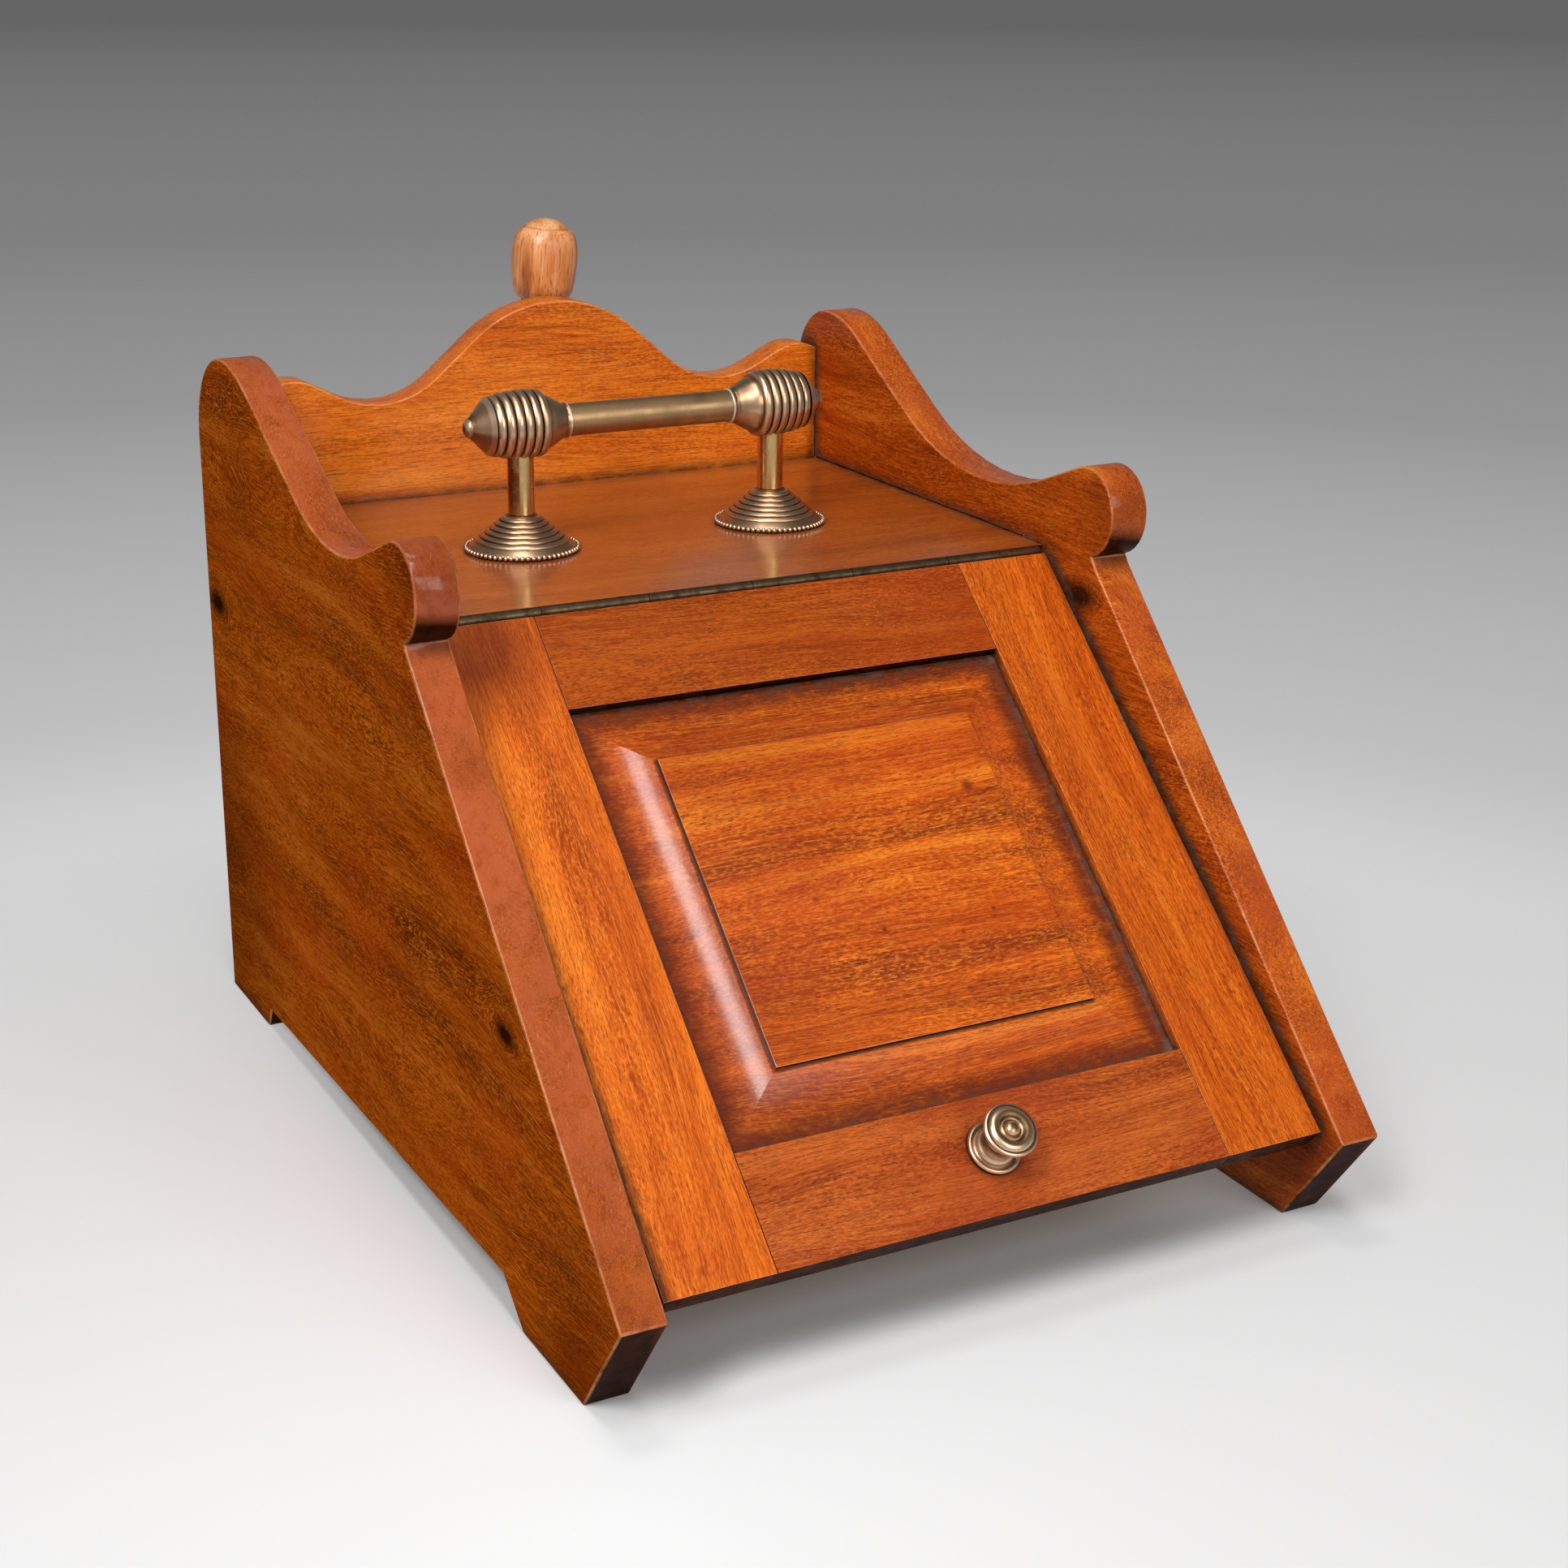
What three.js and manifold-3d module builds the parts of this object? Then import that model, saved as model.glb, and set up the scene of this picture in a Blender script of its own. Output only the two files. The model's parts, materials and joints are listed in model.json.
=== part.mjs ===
// Fireside coal box (coal scuttle) in mahogany with antique brass fittings, millimetres, +Z up.
// X runs across the box, Y from the front foot to the back, Z up from the floor.
// While the pieces are made, y = 0 is the toe of the front feet. The last lines move the whole
// box so that its origin is on the floor, in the middle of its width and depth.
import * as THREE from 'three';
import { mergeVertices } from 'three/addons/utils/BufferGeometryUtils.js';
import Module from 'manifold-3d';

const wasm = await Module();
wasm.setup();

// ---------------------------------------------------------------- driving dimensions

const fitGap = 0.3; // between pieces that touch
const runGap = 0.1; // radial, between the hinge pin and its knuckles

// Shaped sides
const caseWidth = 350;
const caseDepth = 449; // toe of the front foot to the rear edge
const sideThickness = 19.5;
const noseReach = 35; // lower end of the slope, in front of the toe
const noseHeight = 48.5;
const leftHornHeight = 332.5; // the two sides were sawn by hand and differ a little
const leftHornRearRadius = 44;
const leftHornFrontRadius = 74;
const leftValleyY = 251;
const leftValleyHeight = 275;
const leftValleyRadius = 110;
const rightHornHeight = 333;
const rightHornRearRadius = 31;
const rightHornFrontRadius = 61;
const rightValleyY = 261;
const rightValleyHeight = 274;
const rightValleyRadius = 149;
const scrollY = 172.5;
const scrollHeight = 275.2; // centre of the scroll
const scrollRadius = 20.8;
const notchAngle = 253; // degrees round the scroll, where the slope starts
const notchLand = 5; // short steep facet between the notch and the slope
const notchLandAngle = 56; // degrees from the floor
const frontFootLength = 58.5;
const rearFootLength = 60;
const archFrontRun = 20; // the front foot's rear edge leans back by this much
const archFrontHeight = 16.8;
const archRearRun = 5;
const archRearHeight = 10.4;

// Boards of the case
const housingDepth = 6; // grooves in the sides that hold the boards
const topBoardHeight = 252.8; // its upper face
const topBoardThickness = 16;
const topHousingSetback = 14; // the groove stops this far behind the board's front edge
const upstandThickness = 18;
const upstandSetback = 3; // behind it the sides stand proud
const upstandLap = 5; // how far it reaches below the top board
const crestShift = 5; // the wave was sawn a little to the right of the middle
const crestHumpHeight = 346;
const crestHumpRadius = 66;
const crestDipX = 94; // from the hump to each dip
const crestDipHeight = 301;
const crestDipRadius = 46;
const crestShoulderX = 138.5;
const crestShoulderHeight = 315.3;
const crestShoulderRadius = 24;
const bottomBoardHeight = 24; // its lower face
const bottomBoardThickness = 12;
const backPanelThickness = 9;
const frontRailThickness = 14;
const frontRailSetback = 14; // behind the toe, clear of the knob
const frontRailDrop = 30; // height of its lower edge
const cleatSize = 12;
const cleatDrop = 60; // from the top board to the upper end of the back cleats
const blockSize = 20;
const blockLength = 120;
const blockSetback = 60;

// Fall lid
const lidAngle = 41.75; // degrees from the floor
const hingeY = 203.6;
const hingeDrop = 2.2; // below the top board's upper face
const hingeInset = 2.57; // the lid's face stands this far out from the hinge's axis
const lidLength = 300;
const lidSideGap = 3; // to each side of the case
const lidThickness = 13;
const stileWidth = 47.3;
const topRailWidth = 47;
const bottomRailWidth = 49.5;
const grooveInset = 5.5; // from the lid's face to the tongue
const grooveDepth = 6.5;
const tongueThickness = 4;
const tongueLength = 6;
const haunch = 12; // solid wood left at the outer end of a groove
const panelBorder = 30;
const panelFlat = 5; // low flat strip next to the frame
const panelFillet = 1.6; // narrow flat between the cove and the field
const panelCoveTop = 0.5; // the fillet lies this far under the lid's face
const panelFieldProud = 1;
const panelBack = 9.5; // from the lid's face to the panel's back
const coveSteps = 7;
const ledgeWidth = 12;
const ledgeDepth = 10;
const ledgeEndGap = 26;

// Continuous hinge
const knuckleRadius = 2.75;
const knuckleCount = 6;
const pinRadius = 1.4;
const leafThickness = 1.2;
const leafHeight = 10.2;
const hingeSideGap = 1.2;
const hingeScrewHead = 2.2;
const hingeScrewShank = 1.1;
const hingeScrewLength = 6;
const hingeScrewDrop = 7; // from the hinge's axis to the row of screws
const hingeScrewCount = 3;

// Knob on the lid
const knobX = 2.1;
const knobRise = 27; // from the lid's lower end
const knobRadius = 11.4;
const knobHeight = 21;
const knobStem = 4.6;
const knobBolt = 2.5;
const roseRadius = 11.5;
const roseHeight = 6.4;
const knobNutRadius = 5.6;
const knobNutHeight = 3.2;

// Carry handle
const handleX = -2.3; // the handle is fixed a little to the left of the middle
const handleY = 304;
const handleSpan = 129; // between the two posts
const handleRise = 58.15; // top board to the bar's centre
const barRadius = 7.4;
const barrelRadius = 15.8;
const barrelNeckRadius = 8.2;
const barrelInner = 23.2; // from the post's axis towards the bar
const barrelOuter = 27.2; // from the post's axis to the tip
const barrelRingCount = 6;
const barrelRingPitch = 4.45;
const barrelRingStart = -10.2; // bar's side of the first ring
const barrelRingCrown = 1.5; // number of the ring that is widest
const barrelRingDrop = 0.3; // how fast the rings get smaller on both sides of it
const barrelRingDepth = 1.3;
const barrelTipRadius = 3.4;
const barSocketDepth = 13;
const postRadius = 6.2;
const postSocketDepth = 5;
const studRadius = 3;
const baseRadius = 27.2;
const baseHeight = 16.4;
const baseCrown = 17.8; // height at which the base's flared outline would meet its axis
const baseFlare = 1.6; // power of that outline
const baseRimHeight = 1.2;
const baseRingRadius = 22.1; // the lowest ring
const baseRingStep = 2.95;
const baseRingCount = 6;
const washerRadius = 9;
const washerHeight = 1.6;
const nutRadius = 6.4;
const nutHeight = 4.6;
const studSpare = 2; // of the stud, past the nut

// Metal liner
const linerWall = 1.2;
const linerSideGap = 2.5; // to the cleats and ledges
const linerEndGap = 1.5;
const linerRim = 3.2; // folded edge
const linerTopDrop = 26; // from the top board's lower face
const linerLidGap = 3;

// Shovel and its rack on the back
const shovelLean = 5; // degrees, towards +X
const shovelLength = 317.5;
const shovelCapX = 16.9; // centre of the grip's cap
const shovelBackGap = 20; // from the upstand's back to the shovel's axis
const gripLength = 104;
const gripRadius = 17.1;
const gripPommel = 35;
const gripCapRadius = 11.8;
const gripCapRise = 5; // the low dome on the cap
const ferruleLength = 20;
const ferruleFloor = 1.5;
const ferruleRadius = 12.5;
const gripTenonRadius = 9.6;
const shankRadius = 5;
const shankTang = 34; // inside the grip
const panLength = 140;
const panLipWidth = 112;
const panRearWidth = 90;
const panWall = 1.6;
const panRearDepth = 27;
const panLipDepth = 11;
const panFloorDrop = 14.5; // from the shank's axis to the pan's floor
const collarRadius = 8;
const collarHeight = 3;
const strapHeight = 122; // its lower edge
const strapWidth = 18;
const strapThickness = 2;
const strapRoom = 4; // round the pan
const strapFoot = 20;
const rackLedgeHeight = 12;
const rackLedgeLip = 6; // past the strap's inside
const rackLedgeTop = 56;
const slideRoom = 20; // the rack's extra width, because the shovel lifts upright while it leans

// Screws
const panelScrewHead = 4;
const panelScrewShank = 1.8;
const panelScrewLength = 18;
const panelScrewInset = 26;
const strapScrewLength = 8;
const strapScrewHead = 3;
const strapScrewShank = 1.5;
const strapScrewSpacing = 9;

// ---------------------------------------------------------------- derived places

const rad = THREE.MathUtils.degToRad;
const halfWidth = caseWidth / 2;
const innerHalf = halfWidth - sideThickness;
const hingeHeight = topBoardHeight - hingeDrop;
const upstandBack = caseDepth - upstandSetback;
const upstandFront = upstandBack - upstandThickness;
const topBoardUnder = topBoardHeight - topBoardThickness;
const bottomBoardTop = bottomBoardHeight + bottomBoardThickness;
const panelFrontY = upstandBack - backPanelThickness;
const slopeRun = new THREE.Vector2(Math.cos(rad(lidAngle)), Math.sin(rad(lidAngle)));
const hingeGap = knuckleRadius + fitGap;
const lidHalf = innerHalf - lidSideGap;
const openingHalf = lidHalf - stileWidth;
const lidFace = hingeInset;
const lidBack = hingeInset - lidThickness;
const lidTopEnd = -hingeGap;
const lidLowEnd = lidTopEnd - lidLength;
const openingTop = lidTopEnd - topRailWidth;
const openingLow = lidLowEnd + bottomRailWidth;
const tongueFace = lidFace - grooveInset;
const tongueBack = tongueFace - tongueThickness;
const hingeHalf = lidHalf - hingeSideGap;
const barHeight = topBoardHeight + handleRise;
const cleatFrontY = panelFrontY - fitGap - cleatSize;
const linerHalf = innerHalf - fitGap - Math.max(cleatSize, ledgeWidth) - linerSideGap;
const shovelY = upstandBack + shovelBackGap;
const leanSin = Math.sin(rad(shovelLean));
const leanCos = Math.cos(rad(shovelLean));
const panLipHeight = rackLedgeTop + fitGap + leanSin * panLipWidth / 2;
const panLipX = shovelCapX - shovelLength * leanSin;
const strapInnerY = shovelY - panFloorDrop + panRearDepth + strapRoom;
const strapInnerHalf = panLipWidth / 2 + strapRoom + slideRoom / 2;
const rearmost = Math.max(strapInnerY + strapThickness, shovelY + gripRadius);

// ---------------------------------------------------------------- shape helpers

// A closed geometry becomes a solid: only positions are kept, shared corners are merged and
// triangles that have shrunk to a line are dropped.
function toSolid(geometry) {
  const bare = geometry.clone();
  bare.deleteAttribute('normal');
  bare.deleteAttribute('uv');
  const merged = mergeVertices(bare, 1e-4);
  const corners = merged.index.array;
  const kept = [];
  for (let i = 0; i < corners.length; i += 3) {
    const [a, b, c] = [corners[i], corners[i + 1], corners[i + 2]];
    if (a !== b && b !== c && c !== a) kept.push(a, b, c);
  }
  return new wasm.Manifold(new wasm.Mesh({
    numProp: 3,
    vertProperties: new Float32Array(merged.attributes.position.array),
    triVerts: new Uint32Array(kept),
  }));
}

function toGeometry(solid) {
  const mesh = solid.getMesh();
  const geometry = new THREE.BufferGeometry();
  geometry.setAttribute('position', new THREE.BufferAttribute(mesh.vertProperties, 3));
  geometry.setIndex(new THREE.BufferAttribute(mesh.triVerts, 1));
  geometry.computeVertexNormals();
  return geometry;
}

function box(low, high) {
  const size = high.map((value, i) => value - low[i]);
  const geometry = new THREE.BoxGeometry(...size);
  geometry.translate(...low.map((value, i) => value + size[i] / 2));
  return toSolid(geometry);
}

function extruded(points, length) {
  const shape = new THREE.Shape(points.map(([x, y]) => new THREE.Vector2(x, y)));
  return new THREE.ExtrudeGeometry(shape, { depth: length, bevelEnabled: false });
}

// An outline drawn in Y and Z, carried along X.
function sideways(points, fromX, toX) {
  const geometry = extruded(points, toX - fromX);
  const turn = new THREE.Matrix4().makeBasis(
    new THREE.Vector3(0, 1, 0), new THREE.Vector3(0, 0, 1), new THREE.Vector3(1, 0, 0));
  geometry.applyMatrix4(turn);
  geometry.translate(fromX, 0, 0);
  return toSolid(geometry);
}

// An outline drawn in X and Z, carried along Y.
function backwards(points, fromY, toY) {
  const geometry = extruded(points, toY - fromY);
  geometry.rotateX(Math.PI / 2);
  geometry.translate(0, toY, 0);
  return toSolid(geometry);
}

// An outline drawn in X and Y, carried up Z.
function upwards(points, fromZ, toZ) {
  const geometry = extruded(points, toZ - fromZ);
  geometry.translate(0, 0, fromZ);
  return toSolid(geometry);
}

// A profile of [radius, height] pairs turned round the Z axis, with flat or pointed ends.
function turned(profile, segments) {
  const closed = [[0, profile[0][1]], ...profile, [0, profile[profile.length - 1][1]]];
  const points = closed.map(([radius, height]) => new THREE.Vector2(radius, height));
  const geometry = new THREE.LatheGeometry(points, segments);
  geometry.rotateX(Math.PI / 2);
  return toSolid(geometry);
}

function rod(radius, from, to, segments = 20) {
  return turned([[radius, from], [radius, to]], segments);
}

const alongX = (solid) => solid.rotate([0, 90, 0]);
const alongY = (solid) => solid.rotate([-90, 0, 0]);
const at = (solid, x, y, z) => solid.translate([x, y, z]);

function arc(centre, radius, fromDegrees, toDegrees, steps) {
  return Array.from({ length: steps + 1 }, (unused, i) => {
    const angle = rad(fromDegrees + (toDegrees - fromDegrees) * i / steps);
    return [centre[0] + radius * Math.cos(angle), centre[1] + radius * Math.sin(angle)];
  });
}

// Slope, in degrees, of the line that touches the top of one circle and the bottom of another.
function crossTangent(over, overRadius, under, underRadius) {
  const across = under[0] - over[0];
  const up = under[1] - over[1];
  const reach = Math.asin((overRadius + underRadius) / Math.hypot(across, up));
  const line = Math.atan2(up, Math.abs(across));
  return THREE.MathUtils.radToDeg(line - reach);
}

// A countersunk wood screw pointing down -Z, its head's face at z = 0. With room it is the hole.
function screw(head, shank, length, room = 0) {
  return turned([
    [shank * 0.3 + room, -length - room],
    [shank + room, -length * 0.8 - room],
    [shank + room, -(head - shank)],
    [head + room, 0],
    [head + room, room],
  ], 10);
}

// ---------------------------------------------------------------- finishes

const finish = (color, roughness, metalness) =>
  new THREE.MeshStandardMaterial({ color, roughness, metalness });
const mahogany = () => finish(0x9a4a1a, 0.35, 0);
const darkMahogany = () => finish(0x7d3416, 0.4, 0);
const deal = () => finish(0xb38a5c, 0.75, 0);
const brass = () => finish(0x8c7446, 0.38, 1);
const steel = () => finish(0x6f6f6c, 0.5, 1);
const blackenedSteel = () => finish(0x34322f, 0.6, 1);
const beech = () => finish(0xb06a2c, 0.45, 0);

const scuttle = new THREE.Group();
const lid = new THREE.Group();
const shovel = new THREE.Group();
scuttle.add(lid, shovel);
lid.position.set(0, hingeY, hingeHeight);
lid.rotation.x = rad(lidAngle);
shovel.position.set(panLipX, shovelY, panLipHeight);
shovel.rotation.y = rad(shovelLean);

function add(name, solid, material, group = scuttle) {
  const mesh = new THREE.Mesh(toGeometry(solid), material);
  mesh.name = name;
  group.add(mesh);
}

const hands = [['left', -1], ['right', 1]];

// A point of the case given in the lid's frame: along the lid, and out of its face.
function fromLid(along, out) {
  return [
    hingeY + along * slopeRun.x - out * slopeRun.y,
    hingeHeight + along * slopeRun.y + out * slopeRun.x,
  ];
}

// Where a line parallel to the lid's end, at this distance along the lid, has this height.
function lidEndLine(along, height) {
  const out = (height - hingeHeight - along * slopeRun.y) / slopeRun.x;
  return fromLid(along, out);
}

// Where a line parallel to the lid's face, this far out from the hinge's axis, has this y.
function lidFaceLine(out, y) {
  return fromLid(alongLidAt(out, y), out);
}

function alongLidAt(out, y) {
  return (y - hingeY + out * slopeRun.y) / slopeRun.x;
}

// ---------------------------------------------------------------- shaped sides

const leftShape = {
  hornHeight: leftHornHeight,
  rearRadius: leftHornRearRadius,
  frontRadius: leftHornFrontRadius,
  valleyY: leftValleyY,
  valleyHeight: leftValleyHeight,
  valleyRadius: leftValleyRadius,
};
const rightShape = {
  hornHeight: rightHornHeight,
  rearRadius: rightHornRearRadius,
  frontRadius: rightHornFrontRadius,
  valleyY: rightValleyY,
  valleyHeight: rightValleyHeight,
  valleyRadius: rightValleyRadius,
};

function sideOutline(shape) {
  const hornY = caseDepth - shape.rearRadius;
  const hornRear = [hornY, shape.hornHeight - shape.rearRadius];
  const hornFront = [hornY, shape.hornHeight - shape.frontRadius];
  const valleyRadius = shape.valleyRadius;
  const valley = [shape.valleyY, shape.valleyHeight + valleyRadius];
  const scroll = [scrollY, scrollHeight];
  const hornSlope = -crossTangent(hornFront, shape.frontRadius, valley, valleyRadius);
  const scrollSlope = -crossTangent(scroll, scrollRadius, valley, valleyRadius);
  const scrollArc = arc(scroll, scrollRadius, 90 - scrollSlope, notchAngle, 16);
  const notch = scrollArc[scrollArc.length - 1];
  const landRun = notchLand * Math.cos(rad(notchLandAngle));
  const landDrop = notchLand * Math.sin(rad(notchLandAngle));
  return [
    [0, 0],
    [frontFootLength, 0],
    [frontFootLength + archFrontRun, archFrontHeight],
    [caseDepth - rearFootLength - archRearRun, archRearHeight],
    [caseDepth - rearFootLength, 0],
    [caseDepth, 0],
    ...arc(hornRear, shape.rearRadius, 0, 90, 9),
    ...arc(hornFront, shape.frontRadius, 90, 90 + hornSlope, 6).slice(1),
    ...arc(valley, valleyRadius, 270 + hornSlope, 270 - scrollSlope, 10),
    ...scrollArc,
    [notch[0] - landRun, notch[1] - landDrop],
    [-noseReach, noseHeight],
  ];
}

function topBoardOutline(room, front) {
  return [
    lidEndLine(front - room, topBoardUnder - room),
    [upstandFront - fitGap + room, topBoardUnder - room],
    [upstandFront - fitGap + room, topBoardHeight + room],
    lidEndLine(front - room, topBoardHeight + room),
  ];
}

const bottomBoardLow = [frontRailSetback + frontRailThickness + fitGap, bottomBoardHeight];
const bottomBoardHigh = [panelFrontY - fitGap, bottomBoardTop];

function makeSides() {
  for (const [hand, sign] of hands) {
    const [from, to] = sign < 0 ? [-halfWidth, -innerHalf] : [innerHalf, halfWidth];
    const [grooveFrom, grooveTo] = sign < 0
      ? [-innerHalf - housingDepth, -innerHalf + 1] : [innerHalf - 1, innerHalf + housingDepth];
    const topGroove = sideways(
      topBoardOutline(fitGap, hingeGap + topHousingSetback), grooveFrom, grooveTo);
    const bottomGroove = box(
      [grooveFrom, bottomBoardLow[0] - fitGap, bottomBoardLow[1] - fitGap],
      [grooveTo, bottomBoardHigh[0] + fitGap, bottomBoardHigh[1] + fitGap]);
    const outline = sideOutline(sign < 0 ? leftShape : rightShape);
    const board = sideways(outline, from, to).subtract(topGroove).subtract(bottomGroove);
    add(`side_${hand}`, board, mahogany());
  }
}

// ---------------------------------------------------------------- boards of the case

// The crest runs along arcs from the left end to the right one: shoulder, dip, hump, dip and
// shoulder. Neighbouring arcs share their tangent.
function crestOutline() {
  const hump = [crestShift, crestHumpHeight - crestHumpRadius];
  const dip = [crestShift + crestDipX, crestDipHeight + crestDipRadius];
  const shoulder = [crestShift + crestShoulderX, crestShoulderHeight - crestShoulderRadius];
  const humpSlope = -crossTangent(hump, crestHumpRadius, dip, crestDipRadius);
  const shoulderSlope = -crossTangent(shoulder, crestShoulderRadius, dip, crestDipRadius);
  const half = [
    ...arc(hump, crestHumpRadius, 90, 90 - humpSlope, 8),
    ...arc(dip, crestDipRadius, 270 - humpSlope, 270 + shoulderSlope, 8),
    ...arc(shoulder, crestShoulderRadius, 90 + shoulderSlope, 60, 7),
  ];
  const other = half.slice(1).map(([x, z]) => [2 * crestShift - x, z]).reverse();
  return [...other, ...half];
}

const postHoles = hands.map(([, sign]) => handleX + sign * handleSpan / 2);

function makeBoards() {
  const upstandLow = topBoardUnder - upstandLap;
  const crest = crestOutline();
  const crestLeft = crest[0];
  const crestRight = crest[crest.length - 1];
  const wave = backwards([
    [crestLeft[0] - caseWidth, upstandLow],
    [crestRight[0] + caseWidth, upstandLow],
    [crestRight[0] + caseWidth, crestRight[1]],
    ...crest.slice().reverse(),
    [crestLeft[0] - caseWidth, crestLeft[1]],
  ], upstandFront, upstandBack);
  const boardHalf = innerHalf - fitGap;
  add('back_upstand', wave.intersect(box(
    [-boardHalf, upstandFront - 1, upstandLow - 1],
    [boardHalf, upstandBack + 1, crestHumpHeight + 1])), mahogany());

  let topBoard = sideways(
    topBoardOutline(0, hingeGap), -innerHalf + fitGap, innerHalf - fitGap);
  const ears = sideways(
    topBoardOutline(0, hingeGap + topHousingSetback + fitGap),
    -innerHalf - housingDepth + fitGap, innerHalf + housingDepth - fitGap);
  topBoard = topBoard.add(ears);
  for (const x of postHoles) {
    topBoard = topBoard.subtract(
      at(rod(studRadius + fitGap, topBoardUnder - 1, topBoardHeight + 1, 16), x, handleY, 0));
  }
  topBoard = topBoard.subtract(hingeScrewHoles(1));
  add('top_board', topBoard, mahogany());

  const earHalf = innerHalf + housingDepth - fitGap;
  const bottomBoard = box([-earHalf, ...bottomBoardLow], [earHalf, ...bottomBoardHigh]);
  add('bottom_board', bottomBoard, deal());

  let backPanel = box(
    [-boardHalf, panelFrontY, bottomBoardHeight],
    [boardHalf, upstandBack, upstandLow - fitGap]);
  for (const [x, z] of panelScrewPlaces) backPanel = backPanel.subtract(backScrew(x, z, true));
  for (const [x, z] of strapScrewPlaces) backPanel = backPanel.subtract(strapScrew(x, z, true));
  add('back_panel', backPanel, deal());

  const railFront = frontRailSetback;
  const railBack = railFront + frontRailThickness;
  const railTop = lidBack - fitGap;
  add('front_rail', sideways([
    [railFront, frontRailDrop],
    [railBack, frontRailDrop],
    lidFaceLine(railTop, railBack),
    lidFaceLine(railTop, railFront),
  ], -boardHalf, boardHalf), darkMahogany());
}

// ---------------------------------------------------------------- cleats, blocks and lid ledges

const cleatTop = topBoardUnder - cleatDrop;

function makeCleats() {
  for (const [hand, sign] of hands) {
    const outer = innerHalf - fitGap;
    const span = (width) => (sign < 0 ? [-outer, -outer + width] : [outer - width, outer]);
    const [cleatFrom, cleatTo] = span(cleatSize);
    let cleat = box(
      [cleatFrom, cleatFrontY, bottomBoardTop + fitGap],
      [cleatTo, cleatFrontY + cleatSize, cleatTop]);
    for (const [x, z] of panelScrewPlaces) {
      if (x * sign > 0) cleat = cleat.subtract(backScrew(x, z, true));
    }
    add(`back_cleat_${hand}`, cleat, deal());

    const blockTop = topBoardUnder - fitGap;
    const blockOutline = [[sign * outer, blockTop], [sign * (outer - blockSize), blockTop],
      [sign * outer, blockTop - blockSize]];
    if (sign > 0) blockOutline.reverse();
    const blockBack = upstandFront - blockSetback;
    add(`glue_block_${hand}`,
      backwards(blockOutline, blockBack - blockLength, blockBack), deal());

    const [ledgeFrom, ledgeTo] = span(ledgeWidth);
    const ledgeFace = lidBack - fitGap;
    const ledgeLow = alongLidAt(ledgeFace, frontRailSetback + frontRailThickness + fitGap);
    const ledgeTop = lidTopEnd - ledgeEndGap;
    add(`lid_ledge_${hand}`, box(
      [ledgeFrom, ledgeLow, ledgeFace - ledgeDepth], [ledgeTo, ledgeTop, ledgeFace]),
    deal(), scuttleLidFrame);
  }
}

// The ledges belong to the case but lie square to the lid, so they sit in a turned group.
const scuttleLidFrame = new THREE.Group();
scuttleLidFrame.position.copy(lid.position);
scuttleLidFrame.rotation.copy(lid.rotation);
scuttle.add(scuttleLidFrame);

// ---------------------------------------------------------------- fall lid

function makeLid() {
  const grooveFace = tongueFace + fitGap;
  const grooveBack = tongueBack - fitGap;
  const grooveReach = openingHalf + grooveDepth;
  for (const [hand, sign] of hands) {
    const span = (a, b) => (sign < 0 ? [-b, -a] : [a, b]);
    const [stileFrom, stileTo] = span(openingHalf, lidHalf);
    const [grooveFrom, grooveTo] = span(openingHalf - 1, grooveReach);
    let stile = box([stileFrom, lidLowEnd, lidBack], [stileTo, lidTopEnd, lidFace]);
    stile = stile.subtract(box(
      [grooveFrom, lidLowEnd + haunch, grooveBack], [grooveTo, lidTopEnd - haunch, grooveFace]));
    stile = stile.subtract(hingeScrewHoles(-1));
    add(`lid_stile_${hand}`, stile, mahogany(), lid);
  }

  const railHalf = openingHalf - fitGap;
  const tenonHalf = openingHalf + tongueLength;
  let topRail = box([-railHalf, openingTop, lidBack], [railHalf, lidTopEnd, lidFace]);
  topRail = topRail.add(box(
    [-tenonHalf, openingTop, tongueBack], [tenonHalf, lidTopEnd - haunch - fitGap, tongueFace]));
  topRail = topRail.subtract(box(
    [-grooveReach, openingTop - 1, grooveBack], [grooveReach, openingTop + grooveDepth, grooveFace]));
  topRail = topRail.subtract(hingeScrewHoles(-1));
  add('lid_rail_top', topRail, mahogany(), lid);

  let lowRail = box([-railHalf, lidLowEnd, lidBack], [railHalf, openingLow, lidFace]);
  lowRail = lowRail.add(box(
    [-tenonHalf, lidLowEnd + haunch + fitGap, tongueBack], [tenonHalf, openingLow, tongueFace]));
  lowRail = lowRail.subtract(box(
    [-grooveReach, openingLow - grooveDepth, grooveBack], [grooveReach, openingLow + 1, grooveFace]));
  lowRail = lowRail.subtract(
    at(rod(knobBolt + fitGap, lidBack - 1, lidFace + 1, 14), knobX, lidLowEnd + knobRise, 0));
  add('lid_rail_bottom', lowRail, mahogany(), lid);

  // The raised panel is what two long mouldings, crossing at a right angle, have in common.
  const panelHalf = openingHalf + tongueLength;
  const panelLow = openingLow - tongueLength;
  const panelTop = openingTop + tongueLength;
  const panelMiddle = (panelLow + panelTop) / 2;
  const acrossX = backwards(panelProfile(panelHalf), panelLow, panelTop);
  const alongLid = sideways(panelProfile((panelTop - panelLow) / 2), -panelHalf, panelHalf);
  add('lid_panel', acrossX.intersect(at(alongLid, 0, panelMiddle, 0)), mahogany(), lid);
}

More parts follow.
